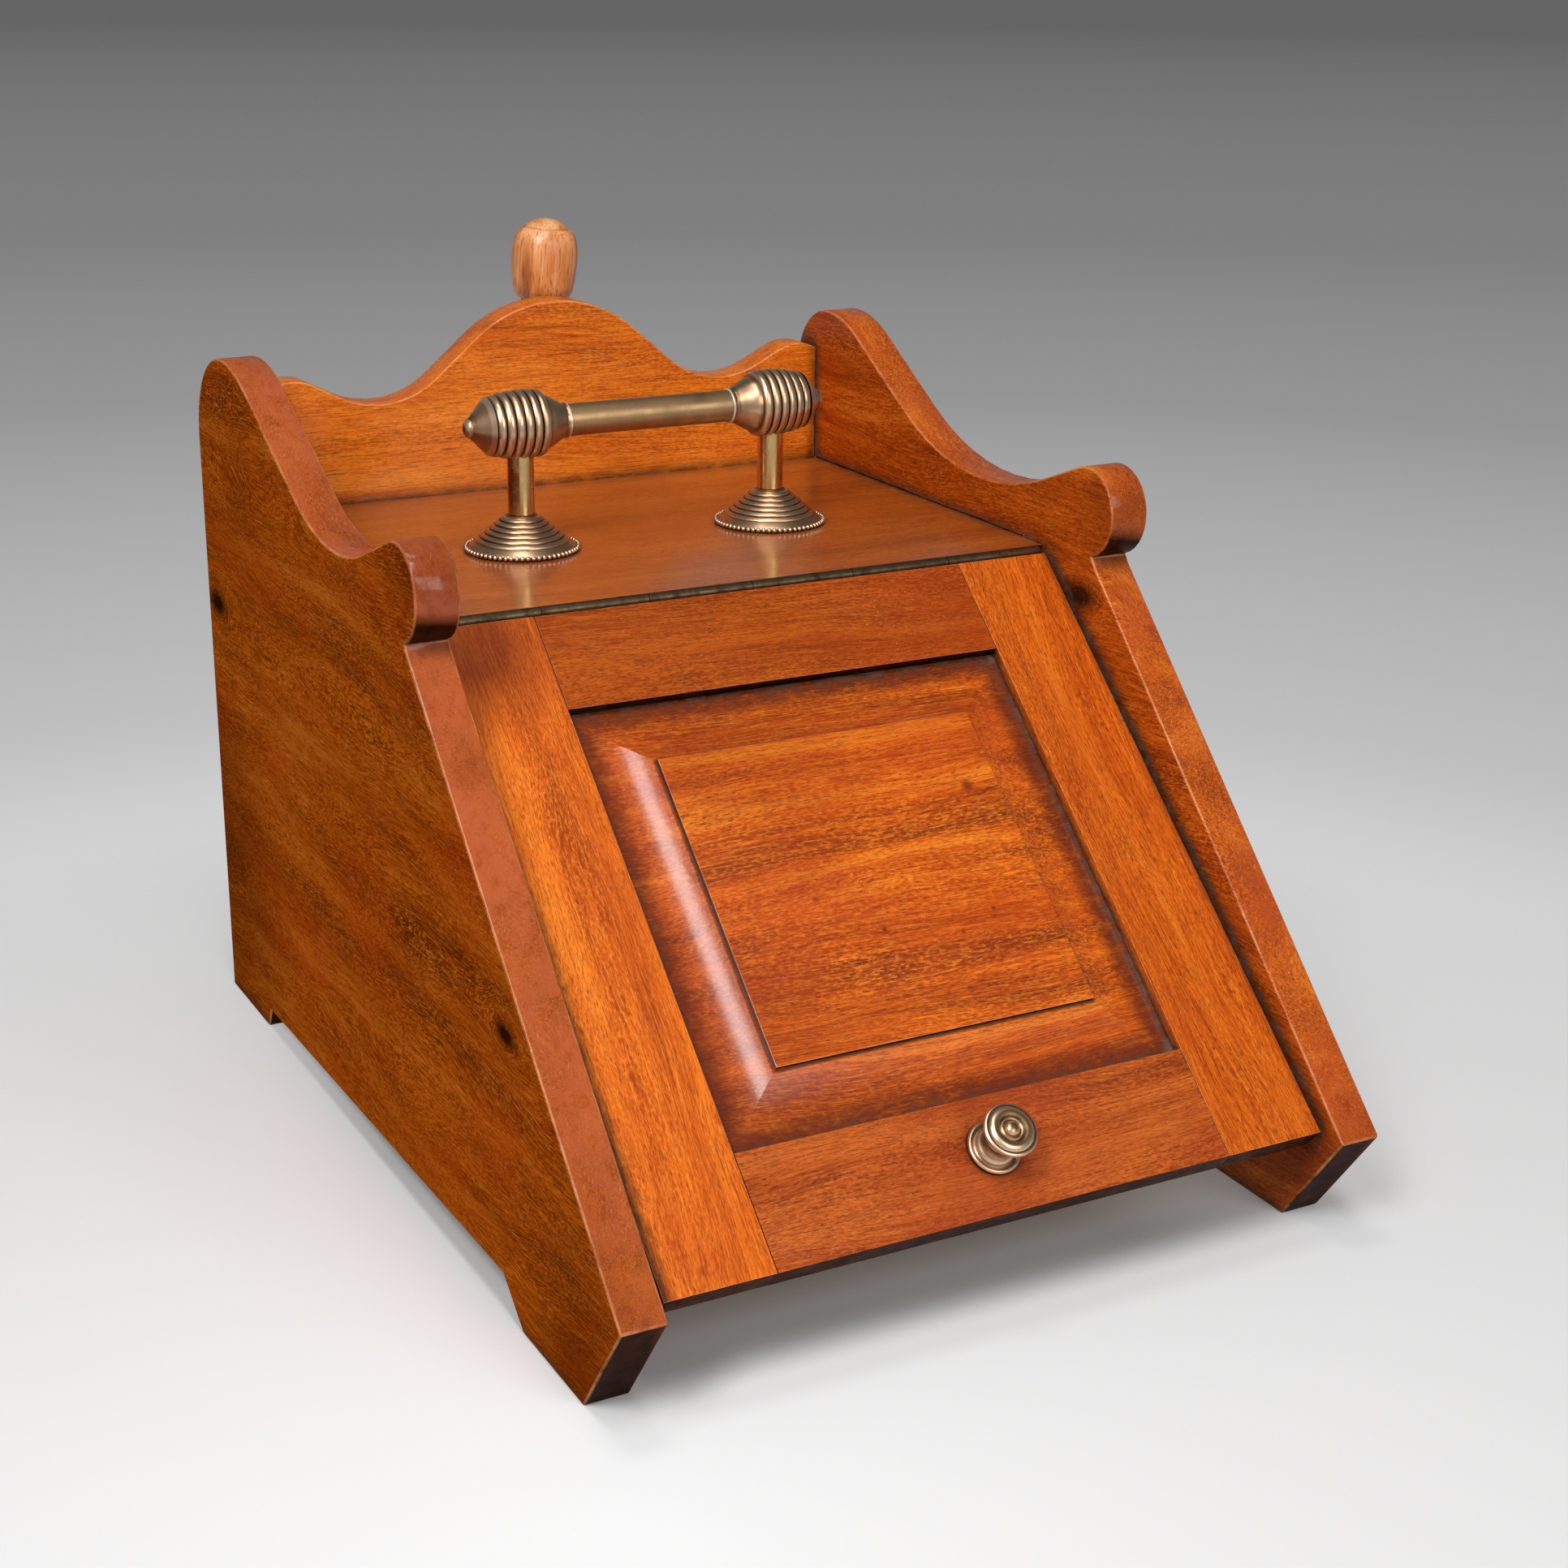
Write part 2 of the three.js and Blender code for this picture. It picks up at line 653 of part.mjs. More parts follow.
// Section of the raised panel: tongue, flat strip, cove, fillet, step and field.
function panelProfile(half) {
  const face = [];
  face.push([half, tongueFace]);
  const coveStart = tongueLength + panelFlat;
  const coveEnd = tongueLength + panelBorder - panelFillet;
  const rise = lidFace - panelCoveTop - tongueFace;
  for (let i = 0; i <= coveSteps; i += 1) {
    const share = i / coveSteps;
    face.push([half - coveStart - (coveEnd - coveStart) * share, tongueFace + rise * share ** 2]);
  }
  face.push([half - tongueLength - panelBorder, lidFace - panelCoveTop]);
  face.push([half - tongueLength - panelBorder, lidFace + panelFieldProud]);
  const other = face.map(([x, z]) => [-x, z]).reverse();
  const back = lidFace - panelBack;
  return [[-half, back], [half, back], ...face, ...other];
}

// ---------------------------------------------------------------- continuous hinge

// In the lid's frame the hinge's axis is the X axis. The leaf on the case lies on its +Y side,
// and the leaf on the lid on its -Y side.
function hingeScrewHoles(side) {
  const holes = hingeScrewPlaces(side).map((place) => {
    const hole = screw(hingeScrewHead, hingeScrewShank, hingeScrewLength, fitGap);
    return at(hole.rotate([side * 90, 0, 0]), ...place);
  });
  const all = holes[0].add(holes[1]).add(holes[2]);
  if (side < 0) return all;
  return all.rotate([lidAngle, 0, 0]).translate([0, hingeY, hingeHeight]);
}

function hingeScrewPlaces(side) {
  const reach = hingeHalf * 0.82;
  const seat = side * (knuckleRadius - leafThickness);
  return Array.from({ length: hingeScrewCount }, (unused, i) => {
    const x = -reach + 2 * reach * i / (hingeScrewCount - 1);
    return [x, seat, -hingeScrewDrop];
  });
}

function makeHinge() {
  const knuckleLength = 2 * hingeHalf / knuckleCount;
  const sides = [['case', 1, scuttleLidFrame], ['lid', -1, lid]];
  sides.forEach(([name, side, group], start) => {
    const span = side > 0
      ? [knuckleRadius - leafThickness, knuckleRadius]
      : [-knuckleRadius, -knuckleRadius + leafThickness];
    let leaf = box(
      [-hingeHalf, span[0], -leafHeight], [hingeHalf, span[1], -knuckleRadius - fitGap]);
    for (let i = start; i < knuckleCount; i += 2) {
      const from = -hingeHalf + i * knuckleLength + fitGap / 2;
      const to = from + knuckleLength - fitGap;
      leaf = leaf.add(box([from, span[0], -knuckleRadius - 1], [to, span[1], 0]));
      leaf = leaf.add(alongX(rod(knuckleRadius, from, to)));
    }
    leaf = leaf.subtract(alongX(rod(pinRadius + runGap, -hingeHalf - 1, hingeHalf + 1)));
    for (const [i, place] of hingeScrewPlaces(side).entries()) {
      const lying = (room) =>
        at(screw(hingeScrewHead, hingeScrewShank, hingeScrewLength, room).rotate([side * 90, 0, 0]),
          ...place);
      leaf = leaf.subtract(lying(fitGap));
      add(`hinge_screw_${name}_${i + 1}`, lying(0), brass(), group);
    }
    add(`hinge_leaf_${name}`, leaf, brass(), group);
  });
  add('hinge_pin', alongX(rod(pinRadius, -hingeHalf, hingeHalf)), brass(), scuttleLidFrame);
}

// ---------------------------------------------------------------- knob

function makeKnob() {
  const y = lidLowEnd + knobRise;
  const seat = lidFace + fitGap;
  const rose = turned([
    [roseRadius - 0.6, 0],
    [roseRadius, 0.8],
    [roseRadius - 0.5, 1.8],
    [roseRadius - 1.9, 1.9],
    [roseRadius - 2, 3.2],
    [roseRadius - 3.4, roseHeight - 2.2],
    [roseRadius - 3.6, roseHeight - 0.8],
    [knobStem + 0.8, roseHeight],
  ], 20).subtract(rod(knobBolt + fitGap, -1, roseHeight + 1, 14));
  add('knob_rose', at(rose, knobX, y, seat), brass(), lid);

  const foot = roseHeight + fitGap;
  const boltEnd = -(lidThickness + knobNutHeight + 3);
  const knob = turned([
    [knobBolt, boltEnd],
    [knobBolt, foot],
    [knobStem + 0.6, foot],
    [knobStem - 0.4, foot + 2.4],
    [knobStem + 1, foot + 5.6],
    [knobRadius - 2.6, knobHeight - 5.6],
    [knobRadius - 0.2, knobHeight - 4.2],
    [knobRadius, knobHeight - 3.2],
    [knobRadius - 0.9, knobHeight - 2.4],
    [knobRadius - 1.6, knobHeight - 2.8],
    [knobRadius - 2.8, knobHeight - 1.4],
    [knobRadius - 4, knobHeight - 1],
    [knobRadius - 6.2, knobHeight - 1.2],
    [knobRadius - 6.8, knobHeight - 1.8],
    [3, knobHeight - 1.4],
    [2, knobHeight],
  ], 20);
  add('knob', at(knob, knobX, y, seat), brass(), lid);

  const nutTop = lidBack - fitGap;
  const nut = rod(knobNutRadius, nutTop - knobNutHeight, nutTop, 6)
    .subtract(rod(knobBolt + fitGap, nutTop - knobNutHeight - 1, nutTop + 1, 14));
  add('knob_nut', at(nut, knobX, y, 0), steel(), lid);
}

// ---------------------------------------------------------------- carry handle

// Barrel along +Z away from the bar: a smooth bulb, six rings and a cone with a blunt tip.
function barrelProfile() {
  const ringRadius = (i) => barrelRadius - barrelRingDrop * (i - barrelRingCrown) ** 2;
  const bulb = ringRadius(0) - barrelRingDepth;
  const bulbLength = barrelRingStart + barrelInner;
  const profile = [
    [barrelNeckRadius, -barrelInner],
    [barrelNeckRadius + 0.2, -barrelInner + bulbLength * 0.18],
    [barrelNeckRadius + (bulb - barrelNeckRadius) * 0.27, -barrelInner + bulbLength * 0.44],
    [barrelNeckRadius + (bulb - barrelNeckRadius) * 0.74, -barrelInner + bulbLength * 0.78],
    [bulb, barrelRingStart - 0.4],
  ];
  for (let i = 0; i < barrelRingCount; i += 1) {
    const start = barrelRingStart + i * barrelRingPitch;
    profile.push([ringRadius(i) - barrelRingDepth, start]);
    profile.push([ringRadius(i), start + barrelRingPitch * 0.3]);
    profile.push([ringRadius(i), start + barrelRingPitch * 0.7]);
  }
  const ringsEnd = barrelRingStart + barrelRingCount * barrelRingPitch;
  const coneRadius = ringRadius(barrelRingCount - 1) - barrelRingDepth * 0.5;
  profile.push([coneRadius, ringsEnd]);
  profile.push([(coneRadius + barrelTipRadius) / 2 + 0.6, (ringsEnd + barrelOuter) / 2]);
  profile.push([barrelTipRadius, barrelOuter - 1.2]);
  profile.push([barrelTipRadius / 2, barrelOuter]);
  return profile;
}

function baseProfile() {
  const flare = (radius) => baseCrown * (1 - (radius / baseRadius) ** baseFlare);
  const profile = [
    [baseRadius - 1.2, 0],
    [baseRadius, baseRimHeight],
    [baseRadius - 0.3, baseRimHeight + 0.7],
    [baseRingRadius + 2, flare(baseRingRadius + 2) + 0.4],
  ];
  for (let i = 0; i < baseRingCount; i += 1) {
    const radius = baseRingRadius - i * baseRingStep;
    profile.push([radius + 0.3, flare(radius) - 0.9]);
    profile.push([radius, flare(radius) - 0.1]);
    profile.push([radius - 0.9, flare(radius) + 0.4]);
  }
  profile.push([postRadius + 0.2, baseHeight]);
  return profile;
}

function makeHandle() {
  const seat = topBoardHeight + fitGap;
  const postFoot = seat + baseHeight + fitGap;
  const socketTop = barHeight - barrelRadius + postSocketDepth;
  const studEnd = topBoardUnder - fitGap - washerHeight - fitGap - nutHeight - studSpare;
  for (const [i, [hand, sign]] of hands.entries()) {
    const x = postHoles[i];
    const hole = (radius, from, to) => rod(radius + fitGap, from, to, 16);

    let barrel = turned(barrelProfile(), 20);
    barrel = barrel.subtract(hole(barRadius, -barrelInner - 1, -barrelInner + barSocketDepth));
    barrel = alongX(barrel);
    if (sign < 0) barrel = barrel.mirror([1, 0, 0]);
    barrel = barrel.subtract(
      hole(postRadius, -barrelRadius - 5, -barrelRadius + postSocketDepth));
    add(`handle_barrel_${hand}`, at(barrel, x, handleY, barHeight), brass());

    const post = turned([
      [studRadius, studEnd],
      [studRadius, postFoot],
      [postRadius, postFoot],
      [postRadius, socketTop - fitGap],
    ], 16);
    add(`handle_post_${hand}`, at(post, x, handleY, 0), brass());

    const base = turned(baseProfile(), 24).subtract(hole(studRadius, -1, baseHeight + 1));
    add(`handle_base_${hand}`, at(base, x, handleY, seat), brass());

    const washerTop = topBoardUnder - fitGap;
    const washer = rod(washerRadius, washerTop - washerHeight, washerTop, 16)
      .subtract(hole(studRadius, washerTop - washerHeight - 1, washerTop + 1));
    add(`handle_washer_${hand}`, at(washer, x, handleY, 0), steel());

    const nutTop = washerTop - washerHeight - fitGap;
    const nut = rod(nutRadius, nutTop - nutHeight, nutTop, 6)
      .subtract(hole(studRadius, nutTop - nutHeight - 1, nutTop + 1));
    add(`handle_nut_${hand}`, at(nut, x, handleY, 0), steel());
  }
  const barFrom = postHoles[0] + barrelInner - barSocketDepth + fitGap;
  const barTo = postHoles[1] - barrelInner + barSocketDepth - fitGap;
  add('handle_bar', at(alongX(rod(barRadius, barFrom, barTo)), 0, handleY, barHeight), brass());
}

// ---------------------------------------------------------------- liner

// A folded tray, open at the top and along the slope, with a thickened edge.
function linerOutline(inset, lift) {
  const front = frontRailSetback + frontRailThickness + linerEndGap + inset;
  const back = cleatFrontY + cleatSize - linerEndGap - inset;
  const floor = bottomBoardTop + fitGap + inset;
  const top = topBoardUnder - linerTopDrop + lift;
  const slope = lidBack - linerLidGap + lift;
  const crown = lidTopAt(slope, top);
  return [
    [front, floor],
    [back, floor],
    [back, top],
    [crown, top],
    lidFaceLine(slope, front),
  ];
}

// Where a line parallel to the lid's face, this far out from the hinge's axis, has this height.
function lidTopAt(out, height) {
  const along = (height - hingeHeight - out * slopeRun.x) / slopeRun.y;
  return fromLid(along, out)[0];
}

function makeLiner() {
  const rimOut = linerRim - linerWall;
  const opened = 12;
  const shell = sideways(linerOutline(0, 0), -linerHalf, linerHalf);
  const hollow = sideways(
    linerOutline(linerWall, opened), -linerHalf + linerWall, linerHalf - linerWall);
  const rimHollow = sideways(
    linerOutline(linerRim, opened), -linerHalf + linerRim, linerHalf - linerRim);
  const deep = sideways(
    linerOutline(-rimOut, -linerRim), -linerHalf - rimOut, linerHalf + rimOut);
  const thin = shell.subtract(hollow);
  const rim = shell.subtract(deep).subtract(rimHollow);
  add('liner', thin.add(rim), blackenedSteel());
}

// ---------------------------------------------------------------- shovel

// In the shovel's frame the lip of the pan is at z = 0 and the grip points up +Z.
function makeShovel() {
  const gripFoot = shovelLength - gripLength;
  const ferruleFoot = gripFoot - fitGap - ferruleFloor;
  const pommelFoot = shovelLength - gripPommel;
  const tenonTop = ferruleFoot + ferruleLength;
  const grip = turned([
    [gripTenonRadius, gripFoot],
    [gripTenonRadius, tenonTop],
    [ferruleRadius, tenonTop],
    [ferruleRadius + 1.4, tenonTop + 14],
    [ferruleRadius - 0.6, tenonTop + 30],
    [ferruleRadius - 1.6, pommelFoot - 8],
    [ferruleRadius + 1, pommelFoot - 3.2],
    [ferruleRadius + 1, pommelFoot],
    [gripRadius - 2.6, pommelFoot + 1.4],
    [gripRadius - 1.4, pommelFoot + 5],
    [gripRadius - 0.4, pommelFoot + 14],
    [gripRadius, pommelFoot + 20],
    [gripRadius - 0.2, pommelFoot + 25],
    [gripRadius - 1.4, pommelFoot + 30],
    [gripRadius - 3.4, pommelFoot + 33.8],
    [gripCapRadius, shovelLength],
    [gripCapRadius * 0.8, shovelLength + gripCapRise * 0.5],
    [gripCapRadius * 0.45, shovelLength + gripCapRise * 0.88],
    [gripCapRadius * 0.1, shovelLength + gripCapRise],
  ], 24).subtract(rod(shankRadius + fitGap, gripFoot - 1, gripFoot + shankTang, 16));
  add('shovel_grip', grip, beech(), shovel);

  const ferrule = turned([
    [ferruleRadius - 2.2, ferruleFoot],
    [ferruleRadius - 0.4, ferruleFoot + 1.4],
    [ferruleRadius - 0.4, tenonTop - 4],
    [ferruleRadius + 0.4, tenonTop - 3],
    [ferruleRadius + 0.4, tenonTop - fitGap],
  ], 20).subtract(rod(gripTenonRadius + fitGap, gripFoot - fitGap, tenonTop + 1, 20))
    .subtract(rod(shankRadius + fitGap, ferruleFoot - 1, tenonTop, 16));
  add('shovel_ferrule', ferrule, brass(), shovel);

  const wallOut = panLength;
  const collarFoot = wallOut + fitGap;
  const headTop = wallOut - panWall - fitGap;
  const shank = turned([
    [shankRadius + 1.2, headTop - 2],
    [shankRadius + 2, headTop],
    [shankRadius - 1, headTop],
    [shankRadius - 1, collarFoot],
    [collarRadius, collarFoot],
    [collarRadius - 0.6, collarFoot + collarHeight],
    [shankRadius, collarFoot + collarHeight + 1.5],
    [shankRadius, gripFoot + shankTang - fitGap],
  ], 16);
  add('shovel_shank', shank, brass(), shovel);

  const trough = panBody(0).subtract(panBody(panWall));
  const pan = trough.subtract(rod(shankRadius - 1 + fitGap, headTop - 1, collarFoot + 1, 16));
  add('shovel_pan', pan, brass(), shovel);
}

// The pan tapers in width and in depth. Its floor lies towards the box and its open side away.
function panBody(inset) {
  const outline = (grow) => [
    [-panLipWidth / 2 + grow, inset > 0 ? -1 : 0],
    [panLipWidth / 2 - grow, inset > 0 ? -1 : 0],
    [panRearWidth / 2 - grow, panLength - grow],
    [-panRearWidth / 2 + grow, panLength - grow],
  ];
  const floor = -panFloorDrop + inset;
  const open = inset > 0 ? panRearDepth : 0;
  const plan = backwards(outline(inset), floor, -panFloorDrop + panRearDepth + open);
  if (inset > 0) return plan;
  const section = sideways([
    [-panFloorDrop, -1],
    [-panFloorDrop + panLipDepth, -1],
    [-panFloorDrop + panRearDepth, panLength * 0.8],
    [-panFloorDrop + panRearDepth, panLength + 1],
    [-panFloorDrop, panLength + 1],
  ], -panLipWidth, panLipWidth);
  return plan.intersect(section);
}

// ---------------------------------------------------------------- rack for the shovel

function backScrew(x, z, hole) {
  const room = hole ? fitGap : 0;
  const shape = screw(panelScrewHead, panelScrewShank, panelScrewLength, room);
  return at(shape.rotate([-90, 0, 0]), x, upstandBack, z);
}

function strapScrew(x, z, hole) {
  const room = hole ? fitGap : 0;
  const shape = screw(strapScrewHead, strapScrewShank, strapScrewLength, room);
  return at(shape.rotate([-90, 0, 0]), x, upstandBack + fitGap + strapThickness, z);
}

const rackX = panLipX + slideRoom / 2 * 0.5;
const cleatMiddle = innerHalf - fitGap - cleatSize / 2;
const panelScrewPlaces = hands.flatMap(([, sign]) => [
  [sign * cleatMiddle, bottomBoardTop + panelScrewInset],
  [sign * cleatMiddle, cleatTop - panelScrewInset],
]);
const strapFootMiddle = strapInnerHalf + strapThickness + strapFoot / 2;
const strapMiddle = strapHeight + strapWidth / 2;
const strapScrewPlaces = hands.flatMap(([, sign]) => [
  [rackX + sign * strapFootMiddle, strapMiddle - strapScrewSpacing / 2],
  [rackX + sign * strapFootMiddle, strapMiddle + strapScrewSpacing / 2],
]);

function makeRack() {
  const inner = strapInnerHalf;
  const outer = inner + strapThickness;
  const foot = outer + strapFoot;
  const wall = upstandBack + fitGap;
  const skin = wall + strapThickness;
  const far = strapInnerY;
  const corner = 8;
  const half = [
    [foot, wall],
    [foot, skin],
    [outer, skin],
    [outer, far + strapThickness - corner],
    [outer - corner, far + strapThickness],
  ];
  const inside = [
    [inner - corner, far],
    [inner, far - corner],
    [inner, wall],
  ];
  const mirrored = (points) => points.map(([x, y]) => [-x, y]).reverse();
  const outline = [...half, ...mirrored(half), ...mirrored(inside), ...inside]
    .map(([x, y]) => [x + rackX, y]);
  let strap = upwards(outline, strapHeight, strapHeight + strapWidth);
  for (const [x, z] of strapScrewPlaces) strap = strap.subtract(strapScrew(x, z, true));
  add('shovel_strap', strap, brass());

  for (const [i, [x, z]] of strapScrewPlaces.entries()) {
    add(`shovel_strap_screw_${i + 1}`, strapScrew(x, z, false), brass());
  }
  for (const [i, [x, z]] of panelScrewPlaces.entries()) {
    add(`back_panel_screw_${i + 1}`, backScrew(x, z, false), steel());
  }

  const ledgeHalf = inner + rackLedgeLip;
  add('shovel_ledge', box(
    [rackX - ledgeHalf, wall, rackLedgeTop - rackLedgeHeight],
    [rackX + ledgeHalf, far, rackLedgeTop]), mahogany());
}

makeSides();
makeBoards();
makeCleats();
makeLid();
makeHinge();
makeKnob();
makeHandle();
makeLiner();
makeShovel();
makeRack();

// The origin goes to the floor, midway between the nose of the sides and the rearmost piece.
scuttle.position.y = (noseReach - rearmost) / 2;

export default scuttle;
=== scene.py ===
# Fireside coal box: French-polished mahogany with antique brass fittings, dressed over its frame.
import json
import math
import bmesh
import bpy
import numpy as np
from mathutils import Euler, Matrix, Vector

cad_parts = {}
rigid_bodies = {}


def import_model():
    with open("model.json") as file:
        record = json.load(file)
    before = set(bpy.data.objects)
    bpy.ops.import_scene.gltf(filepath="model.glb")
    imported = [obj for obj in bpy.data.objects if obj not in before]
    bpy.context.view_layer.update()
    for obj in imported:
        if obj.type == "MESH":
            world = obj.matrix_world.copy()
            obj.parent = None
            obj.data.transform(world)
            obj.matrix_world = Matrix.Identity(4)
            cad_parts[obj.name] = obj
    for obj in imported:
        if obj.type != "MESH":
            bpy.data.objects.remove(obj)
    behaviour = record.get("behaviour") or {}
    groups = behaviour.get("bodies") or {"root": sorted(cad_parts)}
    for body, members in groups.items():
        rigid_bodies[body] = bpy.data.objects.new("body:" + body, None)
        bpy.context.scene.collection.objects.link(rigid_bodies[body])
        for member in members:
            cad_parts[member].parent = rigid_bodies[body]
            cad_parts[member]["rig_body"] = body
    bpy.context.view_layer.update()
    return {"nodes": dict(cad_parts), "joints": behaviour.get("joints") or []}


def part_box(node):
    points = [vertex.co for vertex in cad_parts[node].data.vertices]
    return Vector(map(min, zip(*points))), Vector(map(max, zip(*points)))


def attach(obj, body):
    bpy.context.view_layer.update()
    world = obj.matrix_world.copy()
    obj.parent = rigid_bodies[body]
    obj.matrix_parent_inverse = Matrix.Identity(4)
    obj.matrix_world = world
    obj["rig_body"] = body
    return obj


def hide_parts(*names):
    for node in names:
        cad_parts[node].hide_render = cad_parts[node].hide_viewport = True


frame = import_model()
nodes = frame["nodes"]
mm = 0.001
print("frame loaded:", len(nodes), "nodes")

# The fall lid lies in its own frame: X across, Y up along the slope, Z out of its face.
slope = {
    "angle": 41.75,  # degrees from the floor
    "face": 2.57,  # mm from the hinge's axis out to the lid's face
    "length": 300,
    "topGap": 3.05,  # mm from the hinge's axis to the lid's upper end
}
hinge = Vector(next(joint["pos_m"] for joint in frame["joints"] if joint["name"] == "lid_hinge"))
slopeTurn = Matrix.Rotation(math.radians(slope["angle"]), 4, "X")
slopePlace = Matrix.Translation(hinge) @ slopeTurn

shovelLine = {
    "lean": 5,  # degrees towards +X
    "capX": 16.9,  # mm, middle of the grip's cap
    "length": 317.5,  # from the pan's lip to the cap
    "y": 241.25,
    "lipZ": 61.18,
}


def linear(hexColour):
    # sRGB hex to linear: share / 12.92 where it is darkest, else ((share + 0.055) / 1.055) ^ 2.4
    share = np.array([int(hexColour[i:i + 2], 16) for i in (1, 3, 5)]) / 255
    curve = np.where(share <= 0.04045, share / 12.92, ((share + 0.055) / 1.055) ** 2.4)
    return (*curve.tolist(), 1.0)


def addNode(tree, kind, settings=None):
    # a setting is another node's socket, which is linked, or a property of the node, or the value
    # of one of its own sockets
    node = tree.nodes.new("ShaderNode" + kind)
    for key, value in (settings or {}).items():
        if isinstance(value, bpy.types.NodeSocket):
            tree.links.new(value, node.inputs[key])
        elif isinstance(key, str) and hasattr(node, key):
            setattr(node, key, value)
        else:
            node.inputs[key].default_value = value
    return node


def setRamp(ramp, stops):
    # each stop is a position from 0 to 1 and a hex colour
    elements = ramp.color_ramp.elements
    while len(elements) < len(stops):
        elements.new(0.5)
    for element, (position, colour) in zip(elements, stops):
        element.position = position
        element.color = linear(colour)


def newMaterial(name):
    # an empty node tree, to which each material adds its own nodes
    material = bpy.data.materials.new(name)
    material.use_nodes = True
    material.node_tree.nodes.clear()
    return material, material.node_tree


def finishShader(tree, settings):
    # one surface shader, straight into the output
    shader = addNode(tree, "BsdfPrincipled", settings)
    addNode(tree, "OutputMaterial", {"Surface": shader.outputs[0]})


def product(tree, *factors):
    # factor 1 x factor 2 x ...; each is a number, a socket, or a socket with the two values it is
    # read between and what they become, 0 and 1 where that isn't said
    total = None
    for factor in factors:
        if isinstance(factor, tuple):
            socket, low, high, *ends = factor
            toLow, toHigh = ends or (0.0, 1.0)
            factor = addNode(tree, "MapRange",
                             {0: socket, 1: low, 2: high, 3: toLow, 4: toHigh}).outputs[0]
        if total is None:
            total = factor
        else:
            total = addNode(tree, "Math", {"operation": "MULTIPLY", 0: total, 1: factor}).outputs[0]
    return total


def laidOver(tree, under, over, *factors):
    # colour = under x (1 - share) + over x share, and the share is the product of the factors
    share = product(tree, *factors)
    return addNode(tree, "Mix", {"data_type": "RGBA", 0: share, 6: under, 7: linear(over)}).outputs[2]


def grainNoise(tree, vector, run, width, detail=2.0, rough=0.5):
    # noise(along / run, across / width): one unit is run mm along the grain and width mm across it
    scale = (1 / (run * mm), 1 / (width * mm), 1 / (width * mm))
    stretched = addNode(tree, "Mapping", {"Scale": scale, "Vector": vector}).outputs[0]
    return addNode(tree, "TexNoise", {
        "Scale": 1.0, "Detail": detail, "Roughness": rough, "Vector": stretched})


mahogany = {
    "turn": (0, 0, 0),  # degrees that bring the grain onto X
    "shift": (0, 0, 0),  # m, so that no two boards look alike
    "dark": "#561803",
    "mid": "#aa4205",
    "rich": "#c65408",
    "light": "#e48024",
    "red": "#a23208",  # polish that has turned red in patches
    "redShare": 0.3,
    "bandContrast": 1.0,
    "warp": 9,  # mm that the grain wanders
    "warpRun": 260,  # mm along the grain for one wander
    "bandWidth": 17,  # mm across the grain
    "bandRun": 330,
    "streakWidth": 1.1,
    "streakRun": 34,
    "hairWidth": 0.42,
    "hairRun": 14,
    "hairDark": 0.3,
    "poreWidth": 0.3,  # real pores are 0.2 mm wide, drawn coarser so that they show
    "poreRun": 3.2,
    "poreDepth": 0.62,
    "edge": "#b85e3a",  # polish worn thin on a side's sawn edges
    "edgeShare": 0.0,
    "edgeCoat": 0.5,
    "figure": 0.42,  # share of the pebbly figure where the grain dips under the surface
    "figureSize": 0.8,
    "figureRun": 2.2,
    "knots": (),  # (x, y, z) in mm and a radius in mm
    "stains": (),  # (x, y, z) in mm, a radius in mm and a share; stains, and painted shade near the floor where a board says so
    "border": None,  # x of a long edge with a painted shadow along it and how far the shadow reaches in, both in mm
    "shadowStripHex": "#2c0f04",
    "knotHex": "#1e0903",
    "zone": (240, 22),  # mm along and across of the areas that show the pebbly figure
    "patch": (90, 45),
    "spot": (9, 6),
    "scratch": (70, 0.6),
    "scratchTurn": (0.5, 0.4, 0.6),  # radians, off the grain
    "scratchHex": "#f0b48c",
    "scratches": 0.3,
    "dirtAndShadeHex": "#5a1a03",  # dark polish and painted shade, where a piece has the attribute for them
    # the next three: dark wax in the joints and painted shade in corners and recesses, from ambient
    # occlusion
    "grime": 0.9,
    "grimeHex": "#1c0b05",
    "grimeReach": 8,  # mm from a corner
    "dust": 0.0,
    "dustHex": "#8c7060",
    "under": 0.96,  # share of painted shade on faces that look down, which were never polished
    "downShadeHex": "#0e0502",
    "wear": 0.5,
    "wearHex": "#e39a66",
    "tone": 1.0,
    "gloss": 0.14,
    "roughness": 0.4,
    "coat": 0.3,
    "coatRoughness": 0.14,
}


